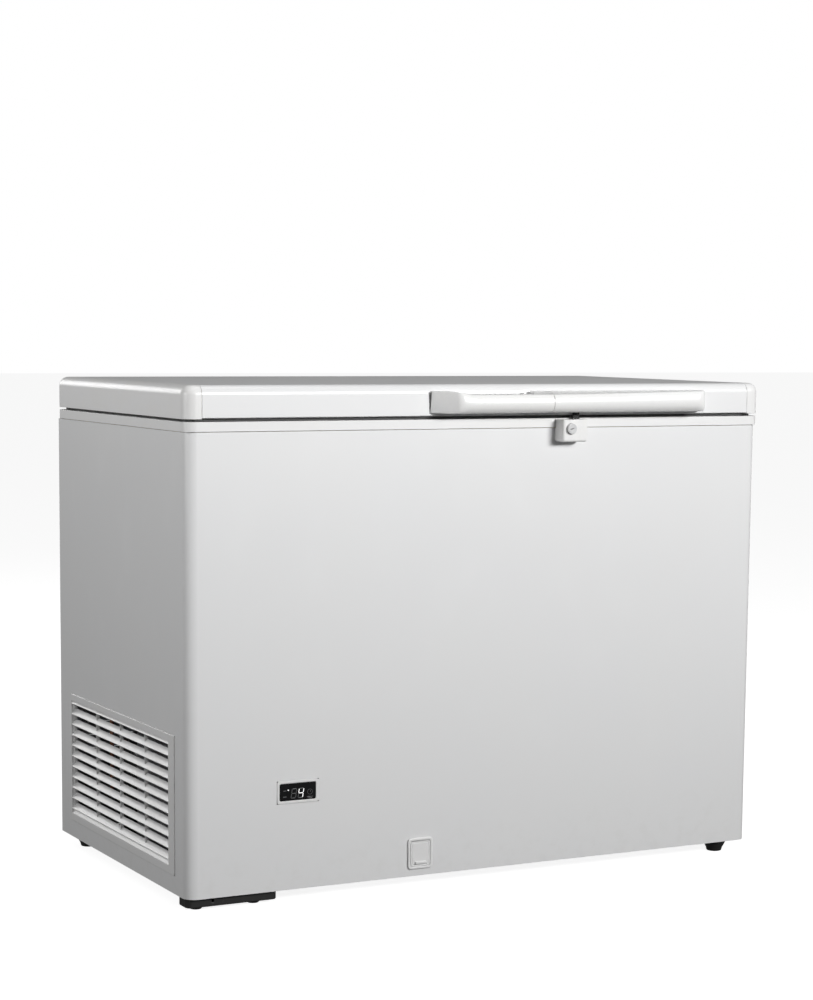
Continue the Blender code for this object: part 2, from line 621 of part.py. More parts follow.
def condenser():
    """Finned block behind the grille, its shroud, and the fan that draws air through it."""
    ys, zs = span(FAN_Y, 0.200), span(FAN_Z, 0.210)
    block = box("condenser", CONDENSER_X, ys, zs,
                material("aluminium_fins", (0.7, 0.7, 0.72), 0.4, 1.0))
    fins, middle = 13, sum(CONDENSER_X) / 2
    rows = (("a", (CONDENSER_X[0] - 0.01, middle - 0.003)),
            ("b", (middle + 0.003, CONDENSER_X[1] + 0.006)))
    for side, xs in rows:
        for number in range(fins):
            y = ys[0] + (number + 1) * (ys[1] - ys[0]) / (fins + 1)
            box(f"fin_gap_{side}_{number}", xs, span(y, 0.009), (zs[0] + 0.006, zs[1] - 0.006))
    join_cutters("fin_gap_", "fin_gaps")
    boolean(block, bpy.data.objects["fin_gaps"])

    outline = [(ys[0], zs[0]), (ys[1], zs[0]), (ys[1], zs[1]), (ys[0], zs[1])]
    flat("fan_shroud", [outline, circle((FAN_Y, FAN_Z), FAN_RADIUS, 28)], "X", SHROUD_X, black_plastic())

    front, rear, strip, reach = SHROUD_X[1] + FIT, SHROUD_X[1] + 0.0170, 0.0020, 0.096
    path = [(front, FAN_Y - reach), (rear, FAN_Y - reach), (rear, FAN_Y + reach), (front, FAN_Y + reach),
            (front, FAN_Y + reach - strip), (rear - strip, FAN_Y + reach - strip),
            (rear - strip, FAN_Y - reach + strip), (front, FAN_Y - reach + strip)]
    motor = flat("fan_motor", [path], "Z", span(FAN_Z, 0.018), zinc_steel())
    can = rod("motor_can", 0.028, (rear - strip / 2, FAN_Y, FAN_Z), (rear + 0.038, FAN_Y, FAN_Z))
    boolean(motor, can, "UNION")

    rotor = rod("fan_rotor", 0.020, (FAN_X - 0.0095, FAN_Y, FAN_Z), (FAN_X + 0.0095, FAN_Y, FAN_Z),
                black_plastic(), hold="fan_axis")
    bm = bmesh.new()
    for number in range(5):
        blade = box_mesh("blade", (-0.0012, 0.0012), (-0.022, 0.022), (0.012, 0.071))
        pitch = Matrix.Rotation(math.radians(90 - 68), 4, "Z")
        blade.transform(Matrix.Rotation(math.radians(72 * number), 4, "X") @ pitch)
        bm.from_mesh(blade)
    blades = mesh_of(bm, "fan_blades")
    blades.transform(Matrix.Translation((FAN_X, FAN_Y, FAN_Z)))
    boolean(rotor, place("fan_blades", blades, None, hold="fan_axis"), "UNION")


# ---- feet ---------------------------------------------------------------------------------

def feet():
    top = FOOT_HEIGHT - 0.0002
    profile = [(0, top), (0.0205, top), (0.0205, top - 0.004), (0.0145, 0.006), (0.0135, 0), (0, 0)]
    places = {"foot_front_right": (0.497, -0.269), "foot_rear_left": (-0.515, 0.249),
              "foot_rear_right": (0.497, 0.249)}
    for name, (x, y) in places.items():
        turned(name, profile, (x, y, 0), (0, 0, 1), black_plastic(), steps=20)

    plan = rounded((-0.5430, -0.3830), (-0.2890, -0.2490), 0.008, 3)
    bar = flat("foot_bar_front_left", [plan], "Z", (0.0118, top), black_plastic())
    for number, x in enumerate((-0.520, -0.419)):
        nub = turned(f"nub_{number}", [(0, 0.014), (0.012, 0.014), (0.010, 0), (0, 0)], (x, -0.270, 0),
                     (0, 0, 1), steps=16)
        boolean(bar, nub, "UNION")


# ---- lid ----------------------------------------------------------------------------------

def lid_block(inset, bottom):
    """The lid's outer shape, made smaller by inset."""
    bm = bmesh.new()
    bmesh.ops.create_cube(bm, size=1)
    top = HEIGHT - inset
    bmesh.ops.scale(bm, vec=(WIDTH - 2 * inset, DEPTH - 2 * inset, top - bottom), verts=bm.verts)
    bmesh.ops.translate(bm, vec=(0, 0, (top + bottom) / 2), verts=bm.verts)
    upright = [e for e in bm.edges if abs(e.verts[0].co.z - e.verts[1].co.z) > 0.01]
    bmesh.ops.bevel(bm, geom=upright, offset=CORNER_RADIUS - inset, segments=5, profile=0.5, affect="EDGES")
    rim = [e for e in bm.edges if all(v.co.z > top - 1e-5 for v in e.verts)]
    bmesh.ops.bevel(bm, geom=rim, offset=LID_EDGE_RADIUS - inset, segments=4, profile=0.5, affect="EDGES")
    return bm


def lid_shell():
    seam = HALF_W - CAP_WIDTH
    y, radius, low = HALF_D, LID_EDGE_RADIUS, LID_BOTTOM + 0.0012
    flange = 0.010
    path = [(y - flange, low), (y, low)] + arc((y - radius, HEIGHT - radius), radius, 0, 90, 5) \
        + arc((-y + radius, HEIGHT - radius), radius, 90, 180, 5) + [(-y, low), (-y + flange, low)]
    sheet("lid_panel", path, "X", (-seam, seam), white_steel(), hold="lid_axis")

    wall = 0.0025
    for side, sign in (("left", -1), ("right", 1)):
        cap = place(f"lid_cap_{side}", mesh_of(lid_block(0, LID_BOTTOM - 0.0006), "cap"), white_plastic(),
                    hold="lid_axis", smooth=True)
        hollow = place(f"cap_hollow_{side}", mesh_of(lid_block(wall, LID_BOTTOM + wall), "hollow"), None,
                       hold="lid_axis")
        cut_at = -sign * (seam + 0.0004)
        xs = (min(-sign * 0.6, -cut_at), max(-sign * 0.6, -cut_at))
        rest = box(f"cap_rest_{side}", xs, (-0.4, 0.4), (0.7, 0.9), hold="lid_axis")
        boolean(boolean(cap, hollow), rest)

    place("lid_foam", mesh_of(lid_block(0.0032, LID_BOTTOM + 0.0034), "lid_foam"), foam_colour(),
          hold="lid_axis")


def lid_underside():
    low = LID_BOTTOM - 0.0004
    half_x, half_y, wall = 0.470, 0.222, 0.002
    pan = box("lid_liner", (-0.5200, 0.5200), (-0.2910, 0.2910), (low, low + 0.0022), white_plastic(),
              hold="lid_axis")
    boss = box("liner_boss", (-half_x, half_x), (-half_y, half_y), (low - 0.0060, low + 0.0010),
               hold="lid_axis")
    hollow = box("liner_hollow", (wall - half_x, half_x - wall), (wall - half_y, half_y - wall),
                 (low - 0.0060 + wall, low + 0.0100), hold="lid_axis")
    bevel(boss, 0.005, 2)
    boolean(boolean(pan, boss, "UNION"), hollow)

    outer = rounded((-0.5390, 0.5390), (-0.2910, 0.2910), 0.012, 3)
    inner = rounded((-0.5230, 0.5230), (-0.2750, 0.2750), 0.004, 2)
    flat("lid_gasket", [outer, inner], "Z", (FRAME_TOP + 0.0003, LID_BOTTOM - 0.0009), rubber(),
         hold="lid_axis")


def hinges():
    knuckle = EAR_RADIUS - 0.0007
    for side, x in (("left", -HINGE_X), ("right", HINGE_X)):
        wide, inside = span(x, 0.044), span(x, 0.039)
        face = REAR_FACE + 0.0003
        outline = [(face, 0.640), (0.3200, 0.640), (0.3200, 0.758), (PIN_Y + EAR_RADIUS, PIN_Z)] \
            + arc((PIN_Y, PIN_Z), EAR_RADIUS, 20, 160, 6) \
            + [(PIN_Y - EAR_RADIUS, PIN_Z), (0.3026, 0.7712), (face, 0.7712)]
        bracket = flat(f"hinge_bracket_{side}", [outline], "X", wide, zinc_steel())
        channel = box(f"bracket_channel_{side}", inside, (0.3000, 0.3178), (0.645, 0.81))
        mouth = box(f"bracket_mouth_{side}", inside, (0.2990, 0.34), (0.7640, 0.81))
        hole = rod(f"bracket_hole_{side}", PIN_RADIUS + 0.0003, (x - 0.04, PIN_Y, PIN_Z),
                   (x + 0.04, PIN_Y, PIN_Z), sides=16)
        for tool in (channel, mouth, hole):
            boolean(bracket, tool)

        rod(f"hinge_pin_{side}", PIN_RADIUS, (x - 0.0235, PIN_Y, PIN_Z), (x + 0.0235, PIN_Y, PIN_Z),
            zinc_steel(), sides=16)

        back, front = HALF_D + 0.0034, HALF_D + 0.0004
        outline = [(front, 0.828), (front, 0.7892)] + arc((PIN_Y, PIN_Z), knuckle, 200, 420, 10) \
            + [(back, 0.802), (back, 0.828)]
        arm = flat(f"hinge_arm_{side}", [outline], "X", span(x, 0.0376), zinc_steel(), hold="lid_axis")
        bore = rod(f"arm_hole_{side}", PIN_RADIUS + 0.0003, (x - 0.04, PIN_Y, PIN_Z),
                   (x + 0.04, PIN_Y, PIN_Z), hold="lid_axis", sides=16)
        boolean(arm, bore)

        turns, steps, coil, y = 7, 10, 0.0068, 0.3089
        low, high = 0.648, 0.752
        turn = [(2 * math.pi * i / steps, i / (turns * steps)) for i in range(turns * steps + 1)]
        points = [(x + coil * math.cos(a), y + coil * math.sin(a), low + (high - low) * t) for a, t in turn]
        tube(f"hinge_spring_{side}", points, 0.0011, zinc_steel())


def handle():
    """A lever at the left that lifts the lid off its seal, and a fixed grip at the right of it."""
    bar_back = HANDLE_FRONT + BAR_THICKNESS
    back = -HALF_D - 0.0016
    gap_left, gap_right = -0.068, 0.064
    plan = [(LEVER_START, back), (LEVER_START, back - 0.004), (HANDLE_FRONT_X[0], HANDLE_FRONT),
            (LEVER_END, HANDLE_FRONT), (LEVER_END, back), (gap_right, back), (gap_right, bar_back),
            (gap_left, bar_back), (gap_left, back)]
    lever = flat("handle_lever", [plan], "Z", HANDLE_Z, white_plastic(), hold="lever_axis")
    low_bar = box("lever_low_bar", (-0.060, LEVER_END + 0.01), (-0.40, -0.3330), (BAR_TOP, 0.86),
                  hold="lever_axis")
    low_gap = box("lever_low_gap", (-0.060, gap_right), (-0.3340, -0.3200), (BAR_TOP, 0.86),
                  hold="lever_axis")
    bore = rod("lever_bore", 0.0023, (-0.097, PIVOT_Y, PIVOT_Z), (0.092, PIVOT_Y, PIVOT_Z),
               hold="lever_axis", sides=14)
    bevel(lever, 0.0025, 2)
    for tool in (low_bar, low_gap, bore):
        boolean(lever, tool)

    base_ys = (-HALF_D - 0.0053, -HALF_D - 0.0003)
    base = box("handle_base", (gap_left + 0.0015, gap_right - 0.0015), base_ys, (0.8010, 0.8240),
               white_plastic(), hold="lid_axis")
    for number, x in enumerate((gap_left + 0.0040, gap_right - 0.0040)):
        ear = box(f"base_ear_{number}", span(x, 0.0050), (PIVOT_Y - 0.0035, base_ys[1] - 0.001),
                  (0.8100, PIVOT_Z + 0.0035), hold="lid_axis")
        boolean(base, ear, "UNION")
    pin_hole = rod("base_bore", 0.0023, (-0.097, PIVOT_Y, PIVOT_Z), (0.092, PIVOT_Y, PIVOT_Z),
                   hold="lid_axis", sides=14)
    boolean(base, pin_hole)
    rod("lever_pin", 0.0020, (-0.095, PIVOT_Y, PIVOT_Z), (0.090, PIVOT_Y, PIVOT_Z), zinc_steel(),
        hold="lid_axis", sides=14)

    back = -HALF_D - 0.0003
    start = LEVER_END + 0.0010
    plan = [(start, HANDLE_FRONT), (HANDLE_FRONT_X[1], HANDLE_FRONT), (GRIP_END, back - 0.004),
            (GRIP_END, back), (start, back)]
    grip = flat("handle_grip", [plan], "Z", HANDLE_Z, white_plastic(), hold="lid_axis")
    room = box("grip_room", (start + 0.006, GRIP_END - 0.040), (bar_back, -0.2), (0.78, 0.8260),
               hold="lid_axis")
    slope = box("grip_slope", (start - 0.01, HANDLE_FRONT_X[1] - 0.03), (-0.40, -0.3330), (BAR_TOP, 0.86),
                hold="lid_axis")
    bevel(grip, 0.0025, 2)
    boolean(boolean(grip, room), slope)


# ---- lock ---------------------------------------------------------------------------------

def lock():
    """A key cylinder turns a cam into a notch of the keeper that hangs from the lid."""
    front = -BODY_Y - LOCK_PROUD
    back_low, back_high = -BODY_Y - 0.0003, -HALF_D - 0.0004
    low, high = LOCK_BODY_Z
    split = FRAME_BOTTOM - 0.0006
    outline = [(front, low), (back_low, low), (back_low, split), (back_high, split), (back_high, high),
               (front, high)]
    housing = flat("lock_housing", [outline], "X", LOCK_BODY_X, white_plastic())
    bevel(housing, 0.003, 2)
    room = (LOCK_X - 0.0128, LOCK_X + 0.0278)
    chamber = box("lock_chamber", room, CHAMBER_Y, (low + 0.0030, high - 0.0025))
    mouth = box("lock_mouth", (LOCK_X + 0.0090, room[1]), CHAMBER_Y, (LOCK_Z, high + 0.01))
    bore = rod("lock_bore", 0.0094, (LOCK_X, front - 0.01, LOCK_Z), (LOCK_X, -0.3100, LOCK_Z))
    for tool in (chamber, mouth, bore):
        boolean(housing, tool)

    length = CHAMBER_Y[0] - front
    profile = [(0, CYLINDER_PROUD), (0.0080, CYLINDER_PROUD), (0.0090, CYLINDER_PROUD - 0.001),
               (0.0090, -length), (0, -length)]
    cylinder = turned("lock_cylinder", profile, (LOCK_X, front, LOCK_Z), (0, -1, 0), zinc_steel(),
                      hold="lock_axis", steps=24)
    keyway = box("keyway", span(LOCK_X, 0.0070), (front - 0.01, front + 0.009), span(LOCK_Z, 0.0016),
                 hold="lock_axis")
    boolean(cylinder, keyway)

    # the cam at rest points down and to the left; a quarter turn brings it to the right
    sector = arc((LOCK_X, LOCK_Z), CAM_RADIUS, -130, -78, 6)
    hub = arc((LOCK_X, LOCK_Z), 0.0050, -60, 210, 10)
    flat("lock_cam", [sector + hub], "Y", CAM_Y, zinc_steel(), hold="lock_axis")

    # keeper: a foot on the lid's front and a tongue with a notch, as one bent strip
    xs = (LOCK_X + 0.0125, LOCK_X + 0.0250)
    tongue = [(-0.3120, 0.7535), (-0.3095, 0.7535), (-0.3095, 0.8010), (-HALF_D - 0.0003, 0.8010),
              (-HALF_D - 0.0003, 0.8150), (-HALF_D - 0.0020, 0.8150), (-HALF_D - 0.0020, 0.8035),
              (-0.3120, 0.8035)]
    keeper = flat("lock_keeper", [tongue], "X", xs, black_paint(), hold="lid_axis")
    notch = box("keeper_notch", (xs[0] - 0.0015, xs[0] + 0.0057), (-0.33, -0.30), (0.7587, 0.7757),
                hold="lid_axis")
    boolean(keeper, notch)


# ---- basket -------------------------------------------------------------------------------

def basket():
    """The basket's outer shape with its real opening; its rim slides on the top frame's ledge."""
    wire = 0.003
    rim = box("wire_basket", BASKET_X, (-0.2465, 0.2465), (BASKET_Z[1] - wire, BASKET_Z[1]),
              white_plastic(), hold="basket_axis")
    body = box("basket_body", (BASKET_X[0] + 0.004, BASKET_X[1] - 0.004), (-BASKET_Y, BASKET_Y),
               (BASKET_Z[0], BASKET_Z[1] - 0.001), hold="basket_axis")
    inside = box("basket_inside", (BASKET_X[0] + 0.007, BASKET_X[1] - 0.007),
                 (-BASKET_Y + wire, BASKET_Y - wire), (BASKET_Z[0] + wire, 0.81), hold="basket_axis")
    boolean(boolean(rim, body, "UNION"), inside)


# ---- assembly -----------------------------------------------------------------------------

pivot("lid_axis", (0, PIN_Y, PIN_Z))
pivot("lever_axis", (0, PIVOT_Y, PIVOT_Z), base="lid_axis")
pivot("lock_axis", (LOCK_X, -BODY_Y - LOCK_PROUD, LOCK_Z))
pivot("drain_flap_axis", FLAP_HINGE)
pivot("drain_plug_axis", (DRAIN_X, DRAIN_Y, TUB_FLOOR))
pivot("fan_axis", (FAN_X, FAN_Y, FAN_Z))
pivot("basket_axis", (sum(BASKET_X) / 2, 0, BASKET_Z[1]))

for make in (outer_cabinet, rear_panel, bay_rear_cover, power_gland, base_pan, compressor_deck, bay_lining,
             inner_liner, evaporator_coil, insulation_foam, temperature_probe, top_frame, side_grille,
             display, drain, compressor, pipework, condenser, feet, lid_shell, lid_underside, hinges,
             handle, lock, basket):
    make()
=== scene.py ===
"""The chest freezer's looks: skins, mouldings, finishes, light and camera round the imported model."""

import json
import math

import bmesh
import bpy
from mathutils import Matrix, Vector


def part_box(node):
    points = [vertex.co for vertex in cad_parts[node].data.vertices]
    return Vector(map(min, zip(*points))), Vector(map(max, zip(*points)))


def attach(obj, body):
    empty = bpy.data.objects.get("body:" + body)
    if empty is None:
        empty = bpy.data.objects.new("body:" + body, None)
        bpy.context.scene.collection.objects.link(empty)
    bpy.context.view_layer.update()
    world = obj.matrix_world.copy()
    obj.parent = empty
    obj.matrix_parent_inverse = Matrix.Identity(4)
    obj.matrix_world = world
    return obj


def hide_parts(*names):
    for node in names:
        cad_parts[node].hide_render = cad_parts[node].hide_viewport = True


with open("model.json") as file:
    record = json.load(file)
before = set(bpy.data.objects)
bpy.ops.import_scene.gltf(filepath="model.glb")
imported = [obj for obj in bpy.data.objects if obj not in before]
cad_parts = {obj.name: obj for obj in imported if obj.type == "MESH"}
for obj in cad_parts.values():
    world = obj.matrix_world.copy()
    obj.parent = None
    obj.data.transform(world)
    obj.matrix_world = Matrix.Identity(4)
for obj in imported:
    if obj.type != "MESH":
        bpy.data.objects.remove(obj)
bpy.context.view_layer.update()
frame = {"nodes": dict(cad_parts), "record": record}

# ---- shader expressions -------------------------------------------------------------------


class Signal:
    """A node's output that can be used in sums like a number."""

    def __init__(self, graph, socket):
        self.graph, self.socket = graph, socket

    def maths(self, operation, *others, clamp=False):
        return self.graph.node("ShaderNodeMath", {"operation": operation, "use_clamp": clamp},
                               dict(enumerate(others)))

    def __add__(self, other):
        return self.maths("ADD", self, other)

    def __sub__(self, other):
        return self.maths("SUBTRACT", self, other)

    def __rsub__(self, other):
        return self.maths("SUBTRACT", other, self)

    def __mul__(self, other):
        return self.maths("MULTIPLY", self, other)

    __radd__ = __add__
    __rmul__ = __mul__

    def between(self, low, high):
        """0 below low, 1 above high, and a smooth change from one to the other."""
        return self.graph.node("ShaderNodeMapRange", {"interpolation_type": "SMOOTHSTEP"},
                               {"Value": self, "From Min": low, "From Max": high})


class Graph:
    """A material's nodes, with its Principled shader."""

    def __init__(self, name):
        self.material = bpy.data.materials.new(name)
        self.material.use_nodes = True
        self.tree = self.material.node_tree
        self.shader = self.tree.nodes["Principled BSDF"]
        self.coordinates = self.node("ShaderNodeTexCoord", output="Object")

    def node(self, kind, settings=None, inputs=None, output=0):
        made = self.tree.nodes.new(kind)
        for key, value in (settings or {}).items():
            setattr(made, key, value)
        for key, value in (inputs or {}).items():
            self.connect(value, made.inputs[key])
        return Signal(self, made.outputs[output])

    def connect(self, value, socket):
        if isinstance(value, Signal):
            self.tree.links.new(value.socket, socket)
        else:
            socket.default_value = value

    def scaled(self, scale):
        """Object coordinates stretched by a scale along each axis."""
        return self.node("ShaderNodeMapping", {}, {"Vector": self.coordinates, "Scale": scale})

    def noise(self, scale, detail=2.0, roughness=0.5, where=None):
        return self.node("ShaderNodeTexNoise", {}, {"Vector": where or self.coordinates, "Scale": scale,
                                                    "Detail": detail, "Roughness": roughness})

    def cells(self, scale, output="Distance", where=None, feature="F1"):
        return self.node("ShaderNodeTexVoronoi", {"feature": feature},
                         {"Vector": where or self.coordinates, "Scale": scale}, output)

    def axis(self, name):
        return self.node("ShaderNodeSeparateXYZ", {}, {0: self.coordinates}, name)

    def mix(self, share, first, second):
        """A colour part way from first to second."""
        return self.node("ShaderNodeMix", {"data_type": "RGBA"}, {0: share, 6: first, 7: second}, 2)

    def bump(self, height, distance, strength=1.0, under=None):
        inputs = {"Height": height, "Distance": distance, "Strength": strength}
        if under:
            inputs["Normal"] = under
        return self.node("ShaderNodeBump", {}, inputs)

    def finish(self, **sockets):
        for name, value in sockets.items():
            self.connect(value, self.shader.inputs[name.replace("_", " ").title()])
        return self.material


def rgb(red, green, blue):
    return (red, green, blue, 1.0)


def grey(value):
    return rgb(value, value, value)


# ---- finishes -----------------------------------------------------------------------------

def powder_coat(name, tone, orange_peel=1.0):
    """Baked enamel on sheet steel: fine orange peel, slow waves in the sheet, faint handling marks."""
    g = Graph(name)
    peel = g.noise(620, 2.0, 0.55)
    speckle = g.noise(2600, 1.0, 0.5)
    waves = g.noise(3.2, 1.0, 0.4, g.scaled((1.0, 1.0, 1.8)))
    smears = g.noise(14, 4.0, 0.62, g.scaled((1.0, 1.0, 0.5))).between(0.50, 0.72)
    soil = (1 - g.axis("Z").between(0.02, 0.16)) * g.noise(38, 5.0, 0.6).between(0.46, 0.75)
    clean = g.mix(g.noise(5, 3.0, 0.5), rgb(tone * 0.985, tone * 0.99, tone), rgb(tone, tone, tone * 0.995))
    colour = g.mix(soil * 0.10 + speckle.between(0.72, 0.80) * 0.05, clean, rgb(0.52, 0.50, 0.46))
    fine = g.bump(peel + speckle * 0.3, 0.00006 * orange_peel, 0.55)
    normal = g.bump(waves, 0.0016, 0.35, fine)
    return g.finish(base_color=colour, roughness=0.30 + peel * 0.05 + smears * 0.05 + soil * 0.1,
                    normal=normal, coat_weight=0.18 + smears * -0.06, coat_roughness=0.16)


def moulded_plastic(name, tone, gloss=0.34, grain=1.0, tint=(1.0, 1.0, 1.0)):
    """Moulded plastic: fine spark grain, slow sink marks, and slight yellowing in patches."""
    g = Graph(name)
    spark = g.noise(1900, 2.0, 0.6)
    sinks = g.noise(26, 2.0, 0.45)
    flow = g.noise(11, 4.0, 0.55, g.scaled((0.4, 1.0, 1.6)))
    rubbed = g.noise(60, 5.0, 0.65).between(0.52, 0.74)
    base = [tone * part for part in tint]
    aged = (base[0] * 0.985, base[1] * 0.975, base[2] * 0.945)
    colour = g.mix(flow.between(0.35, 0.75) * 0.5, rgb(*base), rgb(*aged))
    fine = g.bump(spark, 0.00004 * grain, 0.6)
    return g.finish(base_color=colour, roughness=gloss + spark * 0.06 + rubbed * -0.05,
                    normal=g.bump(sinks, 0.0004, 0.3, fine), coat_weight=0.08 + rubbed * 0.08)


def galvanised_sheet(name):
    """Hot-dip zinc: angular spangle with its own tone and gloss in each crystal, and dull streaks."""
    g = Graph(name)
    warped = g.node("ShaderNodeVectorMath", {"operation": "MULTIPLY_ADD"},
                    {0: g.node("ShaderNodeTexNoise", {}, {"Vector": g.coordinates, "Scale": 24.0}, "Color"),
                     1: (0.03, 0.03, 0.03), 2: g.coordinates})
    crystal = g.node("ShaderNodeSeparateColor", {}, {0: g.cells(74, "Color", warped)}, "Red")
    edge = g.cells(74, "Distance", warped, "DISTANCE_TO_EDGE").between(0.0, 0.09)
    streak = g.noise(9, 5.0, 0.6, g.scaled((3.0, 3.0, 0.35))).between(0.40, 0.72)
    feather = g.noise(240, 3.0, 0.6, g.scaled((1.0, 1.0, 3.0)))
    colour = g.mix(crystal * 0.8 + feather * 0.2, rgb(0.40, 0.42, 0.44), rgb(0.66, 0.68, 0.70))
    dulled = g.mix(streak * 0.45, colour, rgb(0.50, 0.51, 0.52))
    return g.finish(base_color=dulled, metallic=0.92 - streak * 0.25,
                    roughness=0.34 + crystal * 0.16 + streak * 0.14 + (1 - edge) * 0.08,
                    normal=g.bump(crystal * 0.4 + edge * 0.6 + feather * 0.15, 0.00005, 0.6))


def zinc_plate(name):
    """Bright zinc plate over pressed or drawn steel: draw lines, dull bloom and darker hollows."""
    g = Graph(name)
    lines = g.noise(900, 2.0, 0.6, g.scaled((1.0, 1.0, 0.06)))
    bloom = g.noise(70, 5.0, 0.65).between(0.44, 0.70)
    tint = g.noise(30, 2.0, 0.5)
    colour = g.mix(tint, rgb(0.56, 0.57, 0.60), rgb(0.68, 0.67, 0.63))
    bloomed = g.mix(bloom * 0.4, colour, rgb(0.46, 0.46, 0.45))
    return g.finish(base_color=bloomed, metallic=1.0 - bloom * 0.2,
                    roughness=0.24 + bloom * 0.22 + lines * 0.06,
                    normal=g.bump(lines + bloom * 0.3, 0.00003, 0.5))


def black_enamel(name):
    """Thick black paint on a pressed can: runs, dust and a coarse orange peel."""
    g = Graph(name)
    peel = g.noise(210, 3.0, 0.55)
    dust = g.noise(520, 5.0, 0.7).between(0.50, 0.74) * g.noise(12, 2.0, 0.5).between(0.35, 0.7)
    colour = g.mix(dust * 0.5, rgb(0.011, 0.011, 0.012), rgb(0.085, 0.080, 0.072))
    return g.finish(base_color=colour, roughness=0.24 + dust * 0.42 + peel * 0.06,
                    normal=g.bump(peel, 0.00018, 0.5), coat_weight=0.35 - dust * 0.3)


def copper_tube(name):
    """Drawn copper: fingerprints gone brown, pink bright metal between them."""
    g = Graph(name)
    tarnish = g.noise(46, 6.0, 0.66).between(0.36, 0.72)
    lines = g.noise(1200, 1.0, 0.5, g.scaled((0.2, 0.2, 1.0)))
    colour = g.mix(tarnish, rgb(0.86, 0.45, 0.30), rgb(0.34, 0.15, 0.085))
    return g.finish(base_color=colour, metallic=1.0, roughness=0.20 + tarnish * 0.26 + lines * 0.05,
                    normal=g.bump(lines + tarnish * 0.2, 0.00002, 0.5))


def rigid_foam(name):
    """Blown polyurethane: closed cells, skin wrinkles and a darker crust."""
    g = Graph(name)
    cell = g.cells(1500)
    wrinkle = g.noise(55, 6.0, 0.62)
    crust = wrinkle.between(0.42, 0.66)
    colour = g.mix(crust, rgb(0.83, 0.72, 0.44), rgb(0.68, 0.53, 0.27))
    return g.finish(base_color=colour, roughness=0.86 - crust * 0.14,
                    normal=g.bump(wrinkle, 0.0022, 0.6, g.bump(cell, 0.0003, 0.7)))


def sealing_rubber(name, tone):
    """Soft vinyl seal: matt bloom, fine pores and a little lint."""
    g = Graph(name)
    pores = g.cells(1700)
    bloom = g.noise(40, 5.0, 0.6).between(0.40, 0.74)
    lint = g.noise(700, 3.0, 0.7, g.scaled((1.0, 0.3, 1.0))).between(0.66, 0.74)
    colour = g.mix(bloom * 0.5 + lint * 0.3, grey(tone), grey(tone * 1.7 + 0.02))
    return g.finish(base_color=colour, roughness=0.58 + bloom * 0.2, normal=g.bump(pores, 0.00012, 0.5))


def black_moulding(name, tone=0.014):
    """Black plastic with an eroded texture, scuffed grey on its high spots."""
    g = Graph(name)
    texture = g.noise(1300, 4.0, 0.62)
    scuff = g.noise(95, 6.0, 0.7).between(0.60, 0.78)
    colour = g.mix(scuff * 0.5, grey(tone), grey(tone * 5))
    return g.finish(base_color=colour, roughness=0.44 + texture * 0.12 + scuff * 0.16,
                    normal=g.bump(texture, 0.00007, 0.7))


def fin_stock(name):
    """Mill-finish aluminium foil: rolling lines, oily tints and dust caught at the edges."""
    g = Graph(name)
    rolled = g.noise(700, 2.0, 0.5, g.scaled((1.0, 1.0, 0.05)))
    dust = g.noise(120, 5.0, 0.7).between(0.50, 0.72)
    colour = g.mix(dust * 0.6, rgb(0.74, 0.75, 0.77), rgb(0.34, 0.33, 0.31))
    return g.finish(base_color=colour, metallic=1.0 - dust * 0.5,
                    roughness=0.28 + dust * 0.35 + rolled * 0.06, normal=g.bump(rolled, 0.00002, 0.4))


def smoked_lens(name):
    """Smoked acrylic over a black mask, with faint wipe marks in its polish."""
    g = Graph(name)
    wipes = g.noise(130, 5.0, 0.6, g.scaled((1.0, 1.0, 0.25))).between(0.48, 0.72)
    colour = g.mix(wipes, rgb(0.0045, 0.0045, 0.005), rgb(0.010, 0.010, 0.011))
    return g.finish(base_color=colour, roughness=0.07 + wipes * 0.06, coat_weight=0.4 + wipes * -0.1,
                    normal=g.bump(g.noise(20, 1.0), 0.0002, 0.25), coat_roughness=0.04)


def glowing_mark(name, colour, strength):
    """A shape behind the lens that gives off light, a little darker in noise patches; a real lamp for lit
    bars, painted light for unlit bars and printed marks.
    """
    g = Graph(name)
    cloud = g.noise(900, 2.0, 0.5)
    lit = g.mix(cloud * 0.35, rgb(*colour), rgb(*(part * 0.72 for part in colour)))
    return g.finish(base_color=grey(0.02), roughness=0.35, emission_color=lit, emission_strength=strength)


def pale_floor(name):
    """Smooth painted studio floor with very slight mottling."""
    g = Graph(name)
    mottle = g.noise(4, 4.0, 0.5)
    colour = g.mix(mottle, grey(0.46), grey(0.50))
    return g.finish(base_color=colour, roughness=0.75 + mottle * 0.1,
                    normal=g.bump(g.noise(300), 0.0002, 0.3),
                    emission_color=grey(1.0), emission_strength=0.88)


FINISH = {
    "white_painted_steel": powder_coat("white_powder_coat", 0.80),
    "white_plastic": moulded_plastic("white_moulding", 0.80),
    "galvanised_steel": galvanised_sheet("galvanised_spangle"),
    "black_plastic": black_moulding("black_moulding"),
    "black_painted_steel": black_enamel("black_enamel"),
    "insulation_foam": rigid_foam("blown_foam"),
    "copper": copper_tube("copper_tube"),
    "zinc_steel": zinc_plate("zinc_plate"),
    "gasket_rubber": sealing_rubber("seal_vinyl", 0.055),
    "aluminium_fins": fin_stock("fin_stock"),
    "display_lens": smoked_lens("smoked_lens"),
}
HANDLE_PLASTIC = moulded_plastic("handle_moulding", 0.83, gloss=0.24, grain=0.5)
WIRE_COATING = moulded_plastic("wire_coating", 0.82, gloss=0.30, grain=1.4)
LINER_PAINT = powder_coat("liner_enamel", 0.78, orange_peel=1.6)
MOUNT_RUBBER = sealing_rubber("mount_rubber", 0.02)
# A pale diffuse coat instead of the plated lock face's metal: painted reflection of a bright surround.
PLATE_PAINTED_REFLECTION = powder_coat("satin_plate", 0.62, orange_peel=0.4)
GLOW_WHITE = glowing_mark("glow_white", (1.0, 1.0, 1.0), 1.5)
# Unlit bars shown by a faint glow: painted light in place of the light they reflect.
GHOST_PAINTED_GLOW = glowing_mark("glow_dim", (0.62, 0.64, 0.66), 0.10)
